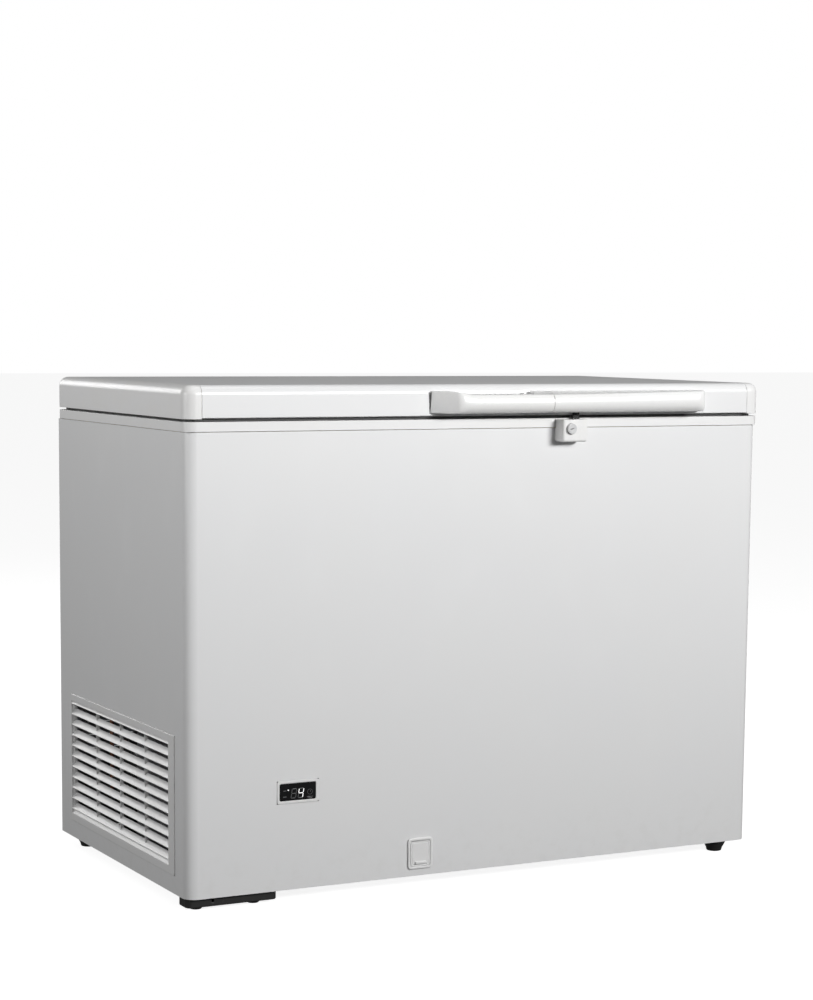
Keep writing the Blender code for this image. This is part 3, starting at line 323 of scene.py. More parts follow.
# Printed marks shown by a faint glow: painted light in place of the light they reflect.
PRINT_PAINTED_GLOW = glowing_mark("print_grey", (0.50, 0.50, 0.52), 0.16)

# ---- mesh helpers -------------------------------------------------------------------------

NODE_BODY = {node: body for body, nodes in frame["record"]["behaviour"]["bodies"].items() for node in nodes}


def new_object(name, mesh):
    made = bpy.data.objects.new(name, mesh)
    bpy.context.scene.collection.objects.link(made)
    return made


def to_mesh(bm, name):
    mesh = bpy.data.meshes.new(name)
    bm.to_mesh(mesh)
    bm.free()
    return mesh


def applied(made, name=None):
    """The object's finished mesh, with its modifiers worked in, as a plain object."""
    bpy.context.view_layer.update()
    graph = bpy.context.evaluated_depsgraph_get()
    mesh = bpy.data.meshes.new_from_object(made.evaluated_get(graph), depsgraph=graph)
    mesh.transform(made.matrix_world)
    title = name or made.name
    bpy.data.objects.remove(made, do_unlink=True)
    mesh.name = title
    return new_object(title, mesh)


def softened(made, width, segments=2, angle=30, smooth_angle=None):
    """Round an object's edges, and give its flat faces true flat shading."""
    if width:
        edge = made.modifiers.new("edge", "BEVEL")
        edge.width, edge.segments = width, segments
        edge.limit_method, edge.angle_limit = "ANGLE", math.radians(angle)
        edge.use_clamp_overlap = True
    name = made.name
    made.name = name + "_raw"
    made = applied(made, name)
    made.data.shade_smooth()
    made.data.set_sharp_from_angle(angle=math.radians(smooth_angle or 50))
    weighted = made.modifiers.new("weighted", "WEIGHTED_NORMAL")
    weighted.mode, weighted.weight, weighted.keep_sharp = "FACE_AREA", 80, True
    made.name = name + "_raw"
    return applied(made, name)


def settle(made, body, slot, finish=None, *nodes):
    """Give a finished piece its material, its body and the CAD nodes that it stands for."""
    made.data.materials.clear()
    made.data.materials.append(finish or FINISH[slot])
    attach(made, body)
    if nodes:
        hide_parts(*nodes)
    return made


def welded_copy(node, name, flatten=1.0):
    """A CAD node's shape as a welded mesh with its flat faces whole."""
    bm = bmesh.new()
    bm.from_mesh(frame["nodes"][node].data)
    bmesh.ops.remove_doubles(bm, verts=bm.verts, dist=0.00002)
    bmesh.ops.dissolve_limit(bm, angle_limit=math.radians(flatten), verts=bm.verts, edges=bm.edges)
    return new_object(name, to_mesh(bm, name))


def refined(node, slot, width, segments=2, angle=30, finish=None, smooth_angle=None, flatten=1.0):
    """A CAD node with rounded edges, smooth shading and its finish."""
    made = welded_copy(node, node + "_skin", flatten)
    made = softened(made, width, segments, angle, smooth_angle)
    return settle(made, NODE_BODY[node], slot, finish, node)


def arc(centre, radius, start, end, steps):
    angles = [math.radians(start + (end - start) * i / steps) for i in range(steps + 1)]
    return [(centre[0] + radius * math.cos(a), centre[1] + radius * math.sin(a)) for a in angles]


def rounded(us, vs, radius, steps=8):
    """A rectangle with round corners, anticlockwise."""
    u0, u1, v0, v1 = us[0] + radius, us[1] - radius, vs[0] + radius, vs[1] - radius
    corners = [((u1, v0), -90), ((u1, v1), 0), ((u0, v1), 90), ((u0, v0), 180)]
    return [p for centre, start in corners for p in arc(centre, radius, start, start + 90, steps)]


def centred(middle, size):
    return middle - size / 2, middle + size / 2


def joined(name, objects):
    """One object out of several plain ones."""
    bm = bmesh.new()
    for part in objects:
        bm.from_mesh(part.data)
        bpy.data.objects.remove(part, do_unlink=True)
    return new_object(name, to_mesh(bm, name))


def block(name, xs, ys, zs):
    bm = bmesh.new()
    bmesh.ops.create_cube(bm, size=1)
    bmesh.ops.scale(bm, vec=(xs[1] - xs[0], ys[1] - ys[0], zs[1] - zs[0]), verts=bm.verts)
    bmesh.ops.translate(bm, vec=(sum(xs) / 2, sum(ys) / 2, sum(zs) / 2), verts=bm.verts)
    return new_object(name, to_mesh(bm, name))


PLACES = {"X": lambda u, v, w: (w, u, v), "Y": lambda u, v, w: (u, w, v), "Z": lambda u, v, w: (u, v, w)}


def plate(name, loop, axis, near, far):
    """A flat outline given its thickness along an axis."""
    place = PLACES[axis]
    bm = bmesh.new()
    face = bm.faces.new([bm.verts.new(place(u, v, near)) for u, v in loop])
    grown = bmesh.ops.extrude_face_region(bm, geom=[face])["geom"]
    shift = Vector(place(0, 0, far - near))
    bmesh.ops.translate(bm, vec=shift, verts=[v for v in grown if isinstance(v, bmesh.types.BMVert)])
    bmesh.ops.recalc_face_normals(bm, faces=bm.faces)
    return new_object(name, to_mesh(bm, name))


def ring_plate(name, outer, inner, axis, near, far):
    """A frame between two outlines of the same number of points."""
    place = PLACES[axis]
    bm = bmesh.new()
    rows = []
    for loop, depth in ((outer, near), (outer, far), (inner, far), (inner, near)):
        rows.append([bm.verts.new(place(u, v, depth)) for u, v in loop])
    count = len(outer)
    for row, following in zip(rows, rows[1:] + rows[:1]):
        for i in range(count):
            j = (i + 1) % count
            bm.faces.new((row[i], row[j], following[j], following[i]))
    bmesh.ops.recalc_face_normals(bm, faces=bm.faces)
    return new_object(name, to_mesh(bm, name))


def lathe(name, profile, base, axis, steps=48):
    """A turned shape: a profile of (radius, height) about an axis through base."""
    bm = bmesh.new()
    turn = Vector((0, 0, 1)).rotation_difference(Vector(axis)).to_matrix()
    rings = []
    for radius, height in profile:
        if radius < 1e-7:
            rings.append([bm.verts.new(Vector(base) + turn @ Vector((0, 0, height)))])
            continue
        rings.append([bm.verts.new(Vector(base) + turn @ Vector((radius * math.cos(a), radius * math.sin(a),
                                                                 height)))
                      for a in (2 * math.pi * i / steps for i in range(steps))])
    for low, high in zip(rings, rings[1:]):
        for i in range(steps):
            j = (i + 1) % steps
            corners = [low[i % len(low)], low[j % len(low)], high[j % len(high)], high[i % len(high)]]
            distinct = list(dict.fromkeys(corners))
            if len(distinct) > 2:
                bm.faces.new(distinct)
    bmesh.ops.recalc_face_normals(bm, faces=bm.faces)
    return new_object(name, to_mesh(bm, name))


def loft(name, sections):
    """A closed skin through sections of equal point count, capped at both ends."""
    bm = bmesh.new()
    rows = [[bm.verts.new(point) for point in section] for section in sections]
    count = len(rows[0])
    for row, following in zip(rows, rows[1:]):
        for i in range(count):
            j = (i + 1) % count
            bm.faces.new((row[i], row[j], following[j], following[i]))
    bm.faces.new(rows[0])
    bm.faces.new(rows[-1])
    bmesh.ops.remove_doubles(bm, verts=bm.verts, dist=0.00001)
    bmesh.ops.dissolve_degenerate(bm, dist=0.00001, edges=bm.edges)
    bmesh.ops.recalc_face_normals(bm, faces=bm.faces)
    return new_object(name, to_mesh(bm, name))


def cut(made, tool, operation="DIFFERENCE"):
    """Change an object by another, which is used up."""
    change = made.modifiers.new("cut", "BOOLEAN")
    change.operation, change.solver, change.object = operation, "EXACT", tool
    name = made.name
    made.name = name + "_raw"
    result = applied(made, name)
    bpy.data.objects.remove(tool, do_unlink=True)
    return result


# ---- geometry nodes -----------------------------------------------------------------------

class Tree:
    """A Geometry Nodes tree with named inputs."""

    def __init__(self, name, inputs):
        self.tree = bpy.data.node_groups.new(name, "GeometryNodeTree")
        faces = self.tree.interface
        faces.new_socket("Geometry", in_out="OUTPUT", socket_type="NodeSocketGeometry")
        faces.new_socket("Geometry", in_out="INPUT", socket_type="NodeSocketGeometry")
        for label, kind in inputs.items():
            faces.new_socket(label, in_out="INPUT", socket_type="NodeSocket" + kind)
        self.entry = self.tree.nodes.new("NodeGroupInput")
        self.exit = self.tree.nodes.new("NodeGroupOutput")

    def given(self, label):
        return self.entry.outputs[label]

    def node(self, kind, inputs, **settings):
        """The first output of a new node."""
        made = self.tree.nodes.new(kind)
        for key, value in settings.items():
            setattr(made, key, value)
        for key, value in inputs.items():
            if isinstance(value, bpy.types.NodeSocket):
                self.tree.links.new(value, made.inputs[key])
            else:
                made.inputs[key].default_value = value
        return made.outputs[0]

    def close(self, geometry):
        """End the tree in real geometry with its material."""
        real = self.node("GeometryNodeRealizeInstances", {0: geometry})
        painted = self.node("GeometryNodeSetMaterial", {"Geometry": real, "Material": self.given("Finish")})
        self.tree.links.new(painted, self.exit.inputs[0])
        return self.tree


def grown(name, tree, start, **values):
    """The plain mesh that a tree makes of a start mesh, with the tree's inputs set."""
    made = new_object(name + "_start", start)
    modifier = made.modifiers.new("pattern", "NODES")
    modifier.node_group = tree
    for item in tree.interface.items_tree:
        key = item.name.lower().replace(" ", "_")
        if item.in_out == "INPUT" and key in values:
            modifier[item.identifier] = values[key]
    result = applied(made, name)
    result.data.shade_smooth()
    result.data.set_sharp_from_angle(angle=math.radians(40))
    return result


def path_mesh(points, closed=False, name="path"):
    """Edges along points, as a start for a swept tree."""
    bm = bmesh.new()
    verts = [bm.verts.new(p) for p in points]
    for first, second in zip(verts, verts[1:] + (verts[:1] if closed else [])):
        bm.edges.new((first, second))
    return to_mesh(bm, name)


def points_mesh(points, name="points"):
    bm = bmesh.new()
    for point in points:
        bm.verts.new(point)
    return to_mesh(bm, name)


def swept_row_tree():
    """Round wire bent along the start edges, repeated in a straight row."""
    t = Tree("bent_wires_in_a_row", {"Radius": "Float", "Bend": "Float", "Count": "Int", "Step": "Vector",
                                     "Finish": "Material"})
    line = t.node("GeometryNodeMeshToCurve", {0: t.given("Geometry")})
    bent = t.node("GeometryNodeFilletCurve", {"Curve": line, "Radius": t.given("Bend"), "Limit Radius": True})
    ring = t.node("GeometryNodeCurvePrimitiveCircle", {"Resolution": 8, "Radius": t.given("Radius")})
    wire = t.node("GeometryNodeCurveToMesh", {"Curve": bent, "Profile Curve": ring, "Fill Caps": True})
    row = t.node("GeometryNodeMeshLine", {"Count": t.given("Count"), "Offset": t.given("Step")})
    copies = t.node("GeometryNodeInstanceOnPoints", {"Points": row, "Instance": wire})
    return t.close(copies)


def slat_tree():
    """Rounded slats along Y, tilted, stacked upwards from the start point."""
    t = Tree("stacked_slats", {"Length": "Float", "Width": "Float", "Thickness": "Float", "Edge": "Float",
                               "Tilt": "Float", "Count": "Int", "Step": "Vector", "Finish": "Material"})
    across = t.node("GeometryNodeCurvePrimitiveQuadrilateral",
                    {"Width": t.given("Width"), "Height": t.given("Thickness")})
    eased = t.node("GeometryNodeFilletCurve", {"Curve": across, "Radius": t.given("Edge")})
    end = t.node("ShaderNodeCombineXYZ", {"Y": t.given("Length")})
    line = t.node("GeometryNodeCurvePrimitiveLine", {"End": end})
    slat = t.node("GeometryNodeCurveToMesh", {"Curve": line, "Profile Curve": eased, "Fill Caps": True})
    turn = t.node("ShaderNodeCombineXYZ", {"Y": t.given("Tilt")})
    tilted = t.node("GeometryNodeTransform", {"Geometry": slat, "Rotation": turn})
    row = t.node("GeometryNodeMeshLine", {"Count": t.given("Count"), "Offset": t.given("Step")})
    stack = t.node("GeometryNodeInstanceOnPoints", {"Points": row, "Instance": tilted})
    placed = t.node("GeometryNodeInstanceOnPoints", {"Points": t.given("Geometry"), "Instance": stack})
    return t.close(placed)


def screw_tree():
    """Pan-head screws with a cross recess, standing up from each start point and then turned."""
    t = Tree("pan_head_screws", {"Radius": "Float", "Height": "Float", "Turn": "Vector",
                                 "Finish": "Material"})
    dome = t.node("GeometryNodeMeshUVSphere", {"Segments": 14, "Rings": 8, "Radius": t.given("Radius")})
    squash = t.node("ShaderNodeMath", {0: t.given("Height"), 1: t.given("Radius")}, operation="DIVIDE")
    scale = t.node("ShaderNodeCombineXYZ", {"X": 1.0, "Y": 1.0, "Z": squash})
    head = t.node("GeometryNodeTransform", {"Geometry": dome, "Scale": scale})
    width = t.node("ShaderNodeMath", {0: t.given("Radius"), 1: 0.24}, operation="MULTIPLY")
    length = t.node("ShaderNodeMath", {0: t.given("Radius"), 1: 1.15}, operation="MULTIPLY")
    first = t.node("ShaderNodeCombineXYZ", {"X": length, "Y": width, "Z": t.given("Height")})
    second = t.node("ShaderNodeCombineXYZ", {"X": width, "Y": length, "Z": t.given("Height")})
    lift = t.node("ShaderNodeCombineXYZ", {"Z": t.given("Height")})
    for size in (first, second):
        bar = t.node("GeometryNodeMeshCube", {"Size": size})
        raised = t.node("GeometryNodeTransform", {"Geometry": bar, "Translation": lift})
        head = t.node("GeometryNodeMeshBoolean", {"Mesh 1": head, "Mesh 2": raised},
                      operation="DIFFERENCE", solver="EXACT")
    copies = t.node("GeometryNodeInstanceOnPoints", {"Points": t.given("Geometry"), "Instance": head})
    turned = t.node("GeometryNodeRotateInstances", {"Instances": copies, "Rotation": t.given("Turn")})
    return t.close(turned)


def fin_tree():
    """Thin flat plates in a row, one set at each start point."""
    t = Tree("thin_fins_in_a_row", {"Size": "Vector", "Count": "Int", "Step": "Vector", "Finish": "Material"})
    fin = t.node("GeometryNodeMeshCube", {"Size": t.given("Size")})
    row = t.node("GeometryNodeMeshLine", {"Count": t.given("Count"), "Offset": t.given("Step")})
    stack = t.node("GeometryNodeInstanceOnPoints", {"Points": row, "Instance": fin})
    placed = t.node("GeometryNodeInstanceOnPoints", {"Points": t.given("Geometry"), "Instance": stack})
    return t.close(placed)


WIRES, SLATS, SCREWS, FINS = swept_row_tree(), slat_tree(), screw_tree(), fin_tree()
TOWARDS_BACK = (-math.pi / 2, 0.0, 0.0)


def screws(name, body, points, turn, radius=0.0042, height=0.0022, slot="zinc_steel"):
    made = grown(name, SCREWS, points_mesh(points), radius=radius, height=height, turn=turn,
                 finish=FINISH[slot])
    return settle(made, body, slot)


# ---- cabinet ------------------------------------------------------------------------------

BODY_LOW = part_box("outer_cabinet")[0]
LID_LOW, LID_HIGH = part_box("lid_panel")
CAP_LOW, CAP_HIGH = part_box("lid_cap_left")
FRAME_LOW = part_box("top_frame")[0]


def cabinet_skins():
    """The large sheets and mouldings, and what lies inside the foam."""
    refined("outer_cabinet", "white_painted_steel", 0, smooth_angle=40)
    rim = welded_copy("top_frame", "top_frame_skin")
    low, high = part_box("top_frame")
    edge, gap = 0.0025, 0.0005
    for vertex in rim.data.vertices:
        outside = abs(vertex.co.x) > high.x - edge or not low.y + edge < vertex.co.y < high.y - edge
        if outside and vertex.co.z < low.z + 0.0005:
            vertex.co.z += gap
    settle(softened(rim, 0.0014, 3, smooth_angle=50), "cabinet", "white_plastic", None, "top_frame")
    refined("inner_liner", "white_painted_steel", 0, finish=LINER_PAINT, smooth_angle=50, flatten=0.5)
    refined("bay_lining", "galvanised_steel", 0)
    refined("base_pan", "galvanised_steel", 0.0003)
    refined("compressor_deck", "black_painted_steel", 0.0005)
    refined("insulation_foam", "insulation_foam", 0, smooth_angle=30)
    refined("evaporator_coil", "copper", 0, smooth_angle=70, flatten=0.01)
    refined("temperature_probe", "zinc_steel", 0.001)
    refined("drain_tube", "white_plastic", 0)


def rear():
    """Back sheets with pressed beads, a row of rivets, and the vented cover's screws and hoods."""
    low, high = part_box("rear_panel")
    refined("rear_panel", "galvanised_steel", 0.0002)
    cover_low, cover_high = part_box("bay_rear_cover")
    refined("bay_rear_cover", "galvanised_steel", 0.0002)
    skin = high.y
    beads = []
    left, right = cover_high.x + 0.070, high.x - 0.070
    for z in (0.200, 0.400, 0.600):
        start = left if z < cover_high.z else low.x + 0.070
        loop = rounded((start, right), centred(z, 0.016), 0.0078, 6)
        bead = plate(f"bead_{int(z * 1000)}", loop, "Y", skin - 0.0005, skin + 0.0016)
        beads.append(softened(bead, 0.0014, 3))
    settle(joined("rear_panel_beads", beads), "cabinet", "galvanised_steel")
    edge = 0.012
    spots = [(x, skin, high.z - edge) for x in spaced(low.x + 0.03, high.x - 0.03, 9)]
    spots += [(high.x - edge, skin, z) for z in spaced(low.z + 0.05, high.z - 0.09, 5)]
    spots += [(x, skin, low.z + edge) for x in spaced(cover_high.x + 0.04, high.x - 0.03, 6)]
    spots += [(low.x + edge, skin, z) for z in spaced(cover_high.z + 0.04, high.z - 0.09, 4)]
    screws("rear_panel_screws", "cabinet", spots, TOWARDS_BACK)
    inset = 0.014
    spots = [(x, cover_high.y, z) for x in (cover_low.x + inset, cover_high.x - inset)
             for z in (cover_low.z + inset, (cover_low.z + cover_high.z) / 2, cover_high.z - inset)]
    screws("bay_cover_screws", "cabinet", spots, TOWARDS_BACK)
    louvres = [louvre(f"louvre_{i}", (-0.503, -0.342), cover_high.y, 0.150 + 0.024 * i) for i in range(6)]
    settle(joined("bay_cover_louvres", louvres), "cabinet", "galvanised_steel")


def louvre(name, xs, skin, z):
    """A pressed hood: closed at its top and ends, open below."""
    reach, sheet, top, knee, bottom = 0.0056, 0.0008, z + 0.0110, z + 0.0050, z - 0.0046
    hood = [(skin, top), (skin + reach, knee), (skin + reach, bottom), (skin + reach - sheet, bottom),
            (skin + reach - sheet, knee - sheet / 2), (skin, top - 2 * sheet)]
    end = [(skin, top), (skin + reach, knee), (skin + reach, bottom), (skin, bottom)]
    parts = [plate(name + "_hood", hood, "X", *xs), plate(name + "_left", end, "X", xs[0], xs[0] + sheet),
             plate(name + "_right", end, "X", xs[1] - sheet, xs[1])]
    return softened(joined(name, parts), 0)


def spaced(first, last, count):
    return [first + (last - first) * i / (count - 1) for i in range(count)]


def grille():
    """Raised border with a sloping sill, thin uprights, and tilted slats behind its face."""
    low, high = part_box("side_grille")
    face, floor = low.x - 0.0008, high.x
    start, pitch, columns = low.y + 0.0255, 0.1155, 4
    rise, rows, first_edge = 0.0191, 11, low.z + 0.0224
    top_edge, sill = high.z - 0.0125, low.z + 0.0130
    end = start + pitch * columns

    outer = rounded((low.y, high.y), (low.z, high.z), 0.004, 6)
    window = rounded((start, end), (sill, top_edge), 0.0008, 6)
    border = ring_plate("grille_border", outer, window, "X", floor, face)
    border = softened(border, 0.0016, 4, 40)

    slope = new_object("grille_sill", to_mesh(wedge(start, end, sill, first_edge, face, floor), "sill"))
    slope = softened(slope, 0.0010, 3)
    wall = 0.0020
    ribs = [softened(block(f"rib_{i}", (face + 0.0045, floor),
                           (start + pitch * i - wall, start + pitch * i), (sill, top_edge)), 0.0004, 1)
            for i in range(1, columns + 1)]

    depth, drop = floor - face - 0.0008, 0.0087
    tilt = math.atan2(drop, depth)
    width = math.hypot(drop, depth)
    middle = Vector(((face + floor) / 2, start, first_edge + drop / 2))
    slats = grown("grille_slats", SLATS, points_mesh([middle]), length=end - start, width=width,
                  thickness=0.0018, edge=0.0007, tilt=-tilt, count=rows, step=(0, 0, rise),
                  finish=FINISH["white_plastic"])
    slats = softened(slats, 0)
    whole = joined("grille_moulding", [border, slope, slats] + ribs)
    settle(whole, "cabinet", "white_plastic", None, "side_grille")


def wedge(y0, y1, low, high, face, floor):
    """The border's sill: its top slopes up and inwards to the lowest slat."""
    lap = 0.001
    outline = [(face, low - lap), (face, low + lap / 2), (floor - 0.003, high + lap), (floor, high + lap),
               (floor, low - lap)]
    bm = bmesh.new()
    ends = [[bm.verts.new((x, y, z)) for x, z in outline] for y in (y0, y1)]
    bm.faces.new(ends[0])
    bm.faces.new(ends[1])
    for i in range(len(outline)):
        j = (i + 1) % len(outline)
        bm.faces.new((ends[0][i], ends[0][j], ends[1][j], ends[1][i]))
    bmesh.ops.recalc_face_normals(bm, faces=bm.faces)
    return bm


# ---- display ------------------------------------------------------------------------------

def display():
    """A nearly flush frame, dark glass, and the marks behind it: lit bars and the lamp glow, while unlit bars
    and printed marks glow faintly as painted light.
    """
    low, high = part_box("display_bezel")
    lens_low, lens_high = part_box("display_lens")
    xs, zs = (low.x, high.x), (low.z, high.z)
    left_shift, proud = 0.0016, 0.0012
    window_x = (lens_low.x - 0.0004 - left_shift, lens_high.x + 0.0010)
    window_z = (lens_low.z - 0.0004, lens_high.z + 0.0004)
    front = BODY_LOW.y - proud
    bezel = ring_plate("display_frame", rounded(xs, zs, 0.0035), rounded(window_x, window_z, 0.0030), "Y",
                       high.y, front)
    settle(softened(bezel, 0.0010, 4, 40), "cabinet", "white_plastic", None, "display_bezel")

    face = front + 0.0005
    glass = plate("display_glass", rounded(window_x, window_z, 0.0030, 10), "Y", face,
                  max(lens_high.y, face + 0.0010))
    settle(softened(glass, 0.0004, 2), "cabinet", "display_lens", None, "display_lens")

    middle_x, middle_z = (lens_low.x + lens_high.x) / 2, (lens_low.z + lens_high.z) / 2
    units_x, tens_x, figure_z = middle_x + 0.0052, middle_x - 0.0075, middle_z - 0.0027
    lit = digit("digit_units", units_x, figure_z, face, "bcfg")
    settle(lit, "cabinet", "display_lens", GLOW_WHITE)
    # Unlit bars shown by a faint glow: painted light.
    ghosts = [digit("ghost_units", units_x, figure_z, face, "ade"),
              digit("ghost_tens", tens_x, figure_z, face, "abcdefg")]
    settle(joined("digit_ghosts", ghosts), "cabinet", "display_lens", GHOST_PAINTED_GLOW)

    bulb = [(0, 0.0004), (0.0006, 0.0004), (0.0010, 0.0001), (0.0010, -0.0008), (0, -0.0008)]
    lamp = lathe("power_lamp", bulb,
                 (lens_low.x + 0.0135, face, lens_high.z - 0.0107), (0, -1, 0), 20)
    settle(lamp, "cabinet", "display_lens", GLOW_WHITE)

    # The printed dial and scale marks glow faintly: painted light.
    dial_x, dial_z, inside, outside = lens_high.x - 0.0096, middle_z - 0.0020, 0.0042, 0.0046
    ring = lathe("dial_ring", [(inside, 0.00025), (outside, 0.00025), (outside, -0.0003), (inside, -0.0003),
                               (inside, 0.00025)], (dial_x, face, dial_z), (0, -1, 0), 32)
    needle = block("dial_needle", centred(dial_x + 0.0008, 0.0006), (face - 0.00025, face + 0.0003),
                   centred(dial_z + 0.0009, 0.0026))
    settle(joined("dial_mark", [ring, needle]), "cabinet", "display_lens", PRINT_PAINTED_GLOW)

    bars = []
    for x, z, length in ((dial_x, middle_z - 0.0100, 0.0105), (dial_x, middle_z - 0.0122, 0.0080),
                         (lens_low.x + 0.0075, middle_z + 0.0025, 0.0055),
                         (lens_low.x + 0.0075, middle_z - 0.0075, 0.0060)):
        bars.append(softened(block(f"bar_{len(bars)}", centred(x, length), (face - 0.0002, face + 0.0003),
                                   centred(z, 0.0009)), 0.0002, 1))
    settle(joined("scale_bars", bars), "cabinet", "display_lens", PRINT_PAINTED_GLOW)
    refined("control_box", "black_plastic", 0.0006)


SEGMENTS = {"a": (0, 1, "flat"), "g": (0, 0, "flat"), "d": (0, -1, "flat"), "f": (-1, 0.5, "tall"),
            "b": (1, 0.5, "tall"), "e": (-1, -0.5, "tall"), "c": (1, -0.5, "tall")}


def digit(name, x, z, face, lit):
    """Bars of a seven-bar figure, leaning to the right."""
    half_width, height, thick, lean = 0.0041, 0.0076, 0.0012, 0.16
    bars = []
    for letter in lit:
        side, level, way = SEGMENTS[letter]
        long, wide = (half_width * 2 - thick * 0.9, thick) if way == "flat" else (thick, height - thick * 0.9)
        loop = []
        for sx, sz in ((-1, -1), (1, -1), (1, 1), (-1, 1)):
            u, v = side * half_width + sx * long / 2, level * height + sz * wide / 2
            loop.append((x + u + v * lean, z + v))
        bars.append(softened(plate(f"{name}_{letter}", loop, "Y", face - 0.0002, face + 0.0003), 0.0003, 1))
    return joined(name, bars)


# ---- drain --------------------------------------------------------------------------------

def drain():
    """The drain door with its slot and lip in its surround, and the stopper in the tub."""
    low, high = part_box("drain_bezel")
    flap_low, flap_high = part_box("drain_flap")
    gap = 0.0005
    window = ((flap_low.x - gap, flap_high.x + gap), (flap_low.z - gap, flap_high.z + 2 * gap))
    bezel = ring_plate("drain_surround", rounded((low.x, high.x), (low.z, high.z), 0.0060),
                       rounded(*window, 0.0036), "Y", high.y, low.y)
    settle(softened(bezel, 0.0018, 4, 40), "cabinet", "white_plastic", None, "drain_bezel")

    face = flap_low.y + 0.0028
    door = plate("drain_door", rounded((flap_low.x, flap_high.x), (flap_low.z, flap_high.z), 0.0032), "Y",
                 face, flap_high.y)
    groove = ring_plate("door_groove", rounded((flap_low.x + 0.0026, flap_high.x - 0.0026),
                                               (flap_low.z + 0.0026, flap_high.z - 0.0026), 0.0020),
                        rounded((flap_low.x + 0.0034, flap_high.x - 0.0034),
                                (flap_low.z + 0.0034, flap_high.z - 0.0034), 0.0014), "Y",
                        face + 0.0004, face - 0.001)
    door = softened(cut(door, groove), 0.0003, 2)
    middle, lip_z = (low.x + high.x) / 2, flap_low.z + 0.0035
    slot = softened(block("door_slot", centred(middle, 0.026), (face - 0.001, flap_high.y - 0.0007),
                          (lip_z - 0.0030, lip_z)), 0.0008, 2)
    door = softened(cut(door, slot), 0, smooth_angle=30)
    lip = softened(block("door_lip", centred(middle, 0.021), (flap_low.y, face + 0.0005),
                         (lip_z, lip_z + 0.0050)), 0.0014, 3)
    pieces = [door, lip]
    settle(joined("drain_door_moulding", pieces), "flap", "white_plastic", None, "drain_flap")

    plug_low, plug_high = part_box("drain_plug")
    centre = ((plug_low.x + plug_high.x) / 2, (plug_low.y + plug_high.y) / 2, plug_low.z + 0.0150)
    profile = [(0, 0.0064), (0.0030, 0.0065), (0.0095, 0.0062), (0.0108, 0.0052), (0.0112, 0.0058),
               (0.0128, 0.0058), (0.0152, 0.0044), (0.0160, 0.0030), (0.0160, 0.0010), (0.0155, 0.0006),
               (0.0072, 0.0006), (0.0070, -0.0040), (0.0072, -0.0044), (0.0072, -0.0060), (0.0068, -0.0066),
               (0.0066, -0.0140), (0.0058, -0.0150), (0, -0.0150)]
    knob = softened(lathe("drain_stopper", profile, centre, (0, 0, 1)), 0)
    settle(knob, "plug", "white_plastic", None, "drain_plug")


# ---- feet ---------------------------------------------------------------------------------

def feet():
    """Three round feet, and the bar with two nubs under the front left corner."""
    for node in ("foot_front_right", "foot_rear_left", "foot_rear_right"):
        low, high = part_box(node)
        x, y, top = (low.x + high.x) / 2, (low.y + high.y) / 2, high.z - low.z
        profile = [(0, 0), (0.0122, 0), (0.0132, 0.0006), (0.0137, 0.0018), (0.0146, 0.0058),
                   (0.0176, 0.0112), (0.0188, 0.0130), (0.0200, top - 0.0042), (0.0205, top - 0.0034),
                   (0.0205, top - 0.0006), (0.0200, top), (0, top)]
        foot = softened(lathe(node + "_moulding", profile, (x, y, low.z), (0, 0, 1)), 0, smooth_angle=60)
        settle(foot, "cabinet", "black_plastic", None, node)
    low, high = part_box("foot_bar_front_left")
    shelf = low.z + 0.0050
    loop = rounded((low.x, high.x), (low.y, high.y), 0.0090, 8)
    bar = plate("foot_bar_body", loop, "Z", shelf, high.z)
    slot = block("bar_notch", centred(low.x + 0.045, 0.0030), (low.y - 0.01, low.y + 0.012),
                 (shelf + 0.0070, 0.05))
    bar = softened(cut(bar, slot), 0.0020, 3)
    nubs = []
    for x in (low.x + 0.023, low.x + 0.124):
        profile = [(0, 0), (0.0090, 0), (0.0100, 0.0010), (0.0112, 0.0030), (0.0128, shelf + 0.0004),
                   (0, shelf + 0.001)]
        nub = lathe("nub", profile, (x, low.y + 0.019, low.z), (0, 0, 1), 32)
        nubs.append(softened(nub, 0, smooth_angle=60))
    settle(joined("foot_bar_moulding", [bar] + nubs), "cabinet", "black_plastic", None, "foot_bar_front_left")


# ---- lid ----------------------------------------------------------------------------------

LID_CORNER = 0.020
LID_EDGE = 0.016


def lid():
    """One pressed skin between two moulded end caps, over the foam and the lining."""
    radius, sheet = LID_EDGE, 0.001
    y0, y1, low, high = LID_LOW.y, LID_HIGH.y, LID_LOW.z, LID_HIGH.z
    steps = 10
    path = [(y1 - 0.010, low), (y1, low)] + arc((y1 - radius, high - radius), radius, 0, 90, steps) \
        + arc((y0 + radius, high - radius), radius, 90, 180, steps) + [(y0, low), (y0 + 0.010, low)]
    bm = bmesh.new()
    ends = [[bm.verts.new((x, u, v)) for u, v in path] for x in (LID_LOW.x, LID_HIGH.x)]
    for i in range(len(path) - 1):
        bm.faces.new((ends[0][i], ends[0][i + 1], ends[1][i + 1], ends[1][i]))
    bmesh.ops.recalc_face_normals(bm, faces=bm.faces)
    top = max(bm.faces, key=lambda f: f.calc_center_median().z)
    if top.normal.z < 0:
        bmesh.ops.reverse_faces(bm, faces=bm.faces)
    skin = new_object("lid_skin", to_mesh(bm, "lid_skin"))
    solid = skin.modifiers.new("sheet", "SOLIDIFY")
    solid.thickness, solid.offset, solid.use_even_offset = sheet, -1, True
    skin = softened(applied(skin, "lid_skin"), 0.00035, 1, 60, 35)
    settle(skin, "lid", "white_painted_steel", None, "lid_panel")

    for side, sign in (("left", -1), ("right", 1)):
        node = f"lid_cap_{side}"
        seam = CAP_HIGH.x if sign < 0 else -CAP_HIGH.x
        outer = CAP_LOW.x if sign < 0 else -CAP_LOW.x
        cap = end_cap(node + "_moulding", sign, seam, outer)
        settle(cap, "lid", "white_plastic", None, node)
    refined("lid_foam", "insulation_foam", 0, smooth_angle=30)
    lid_lining()


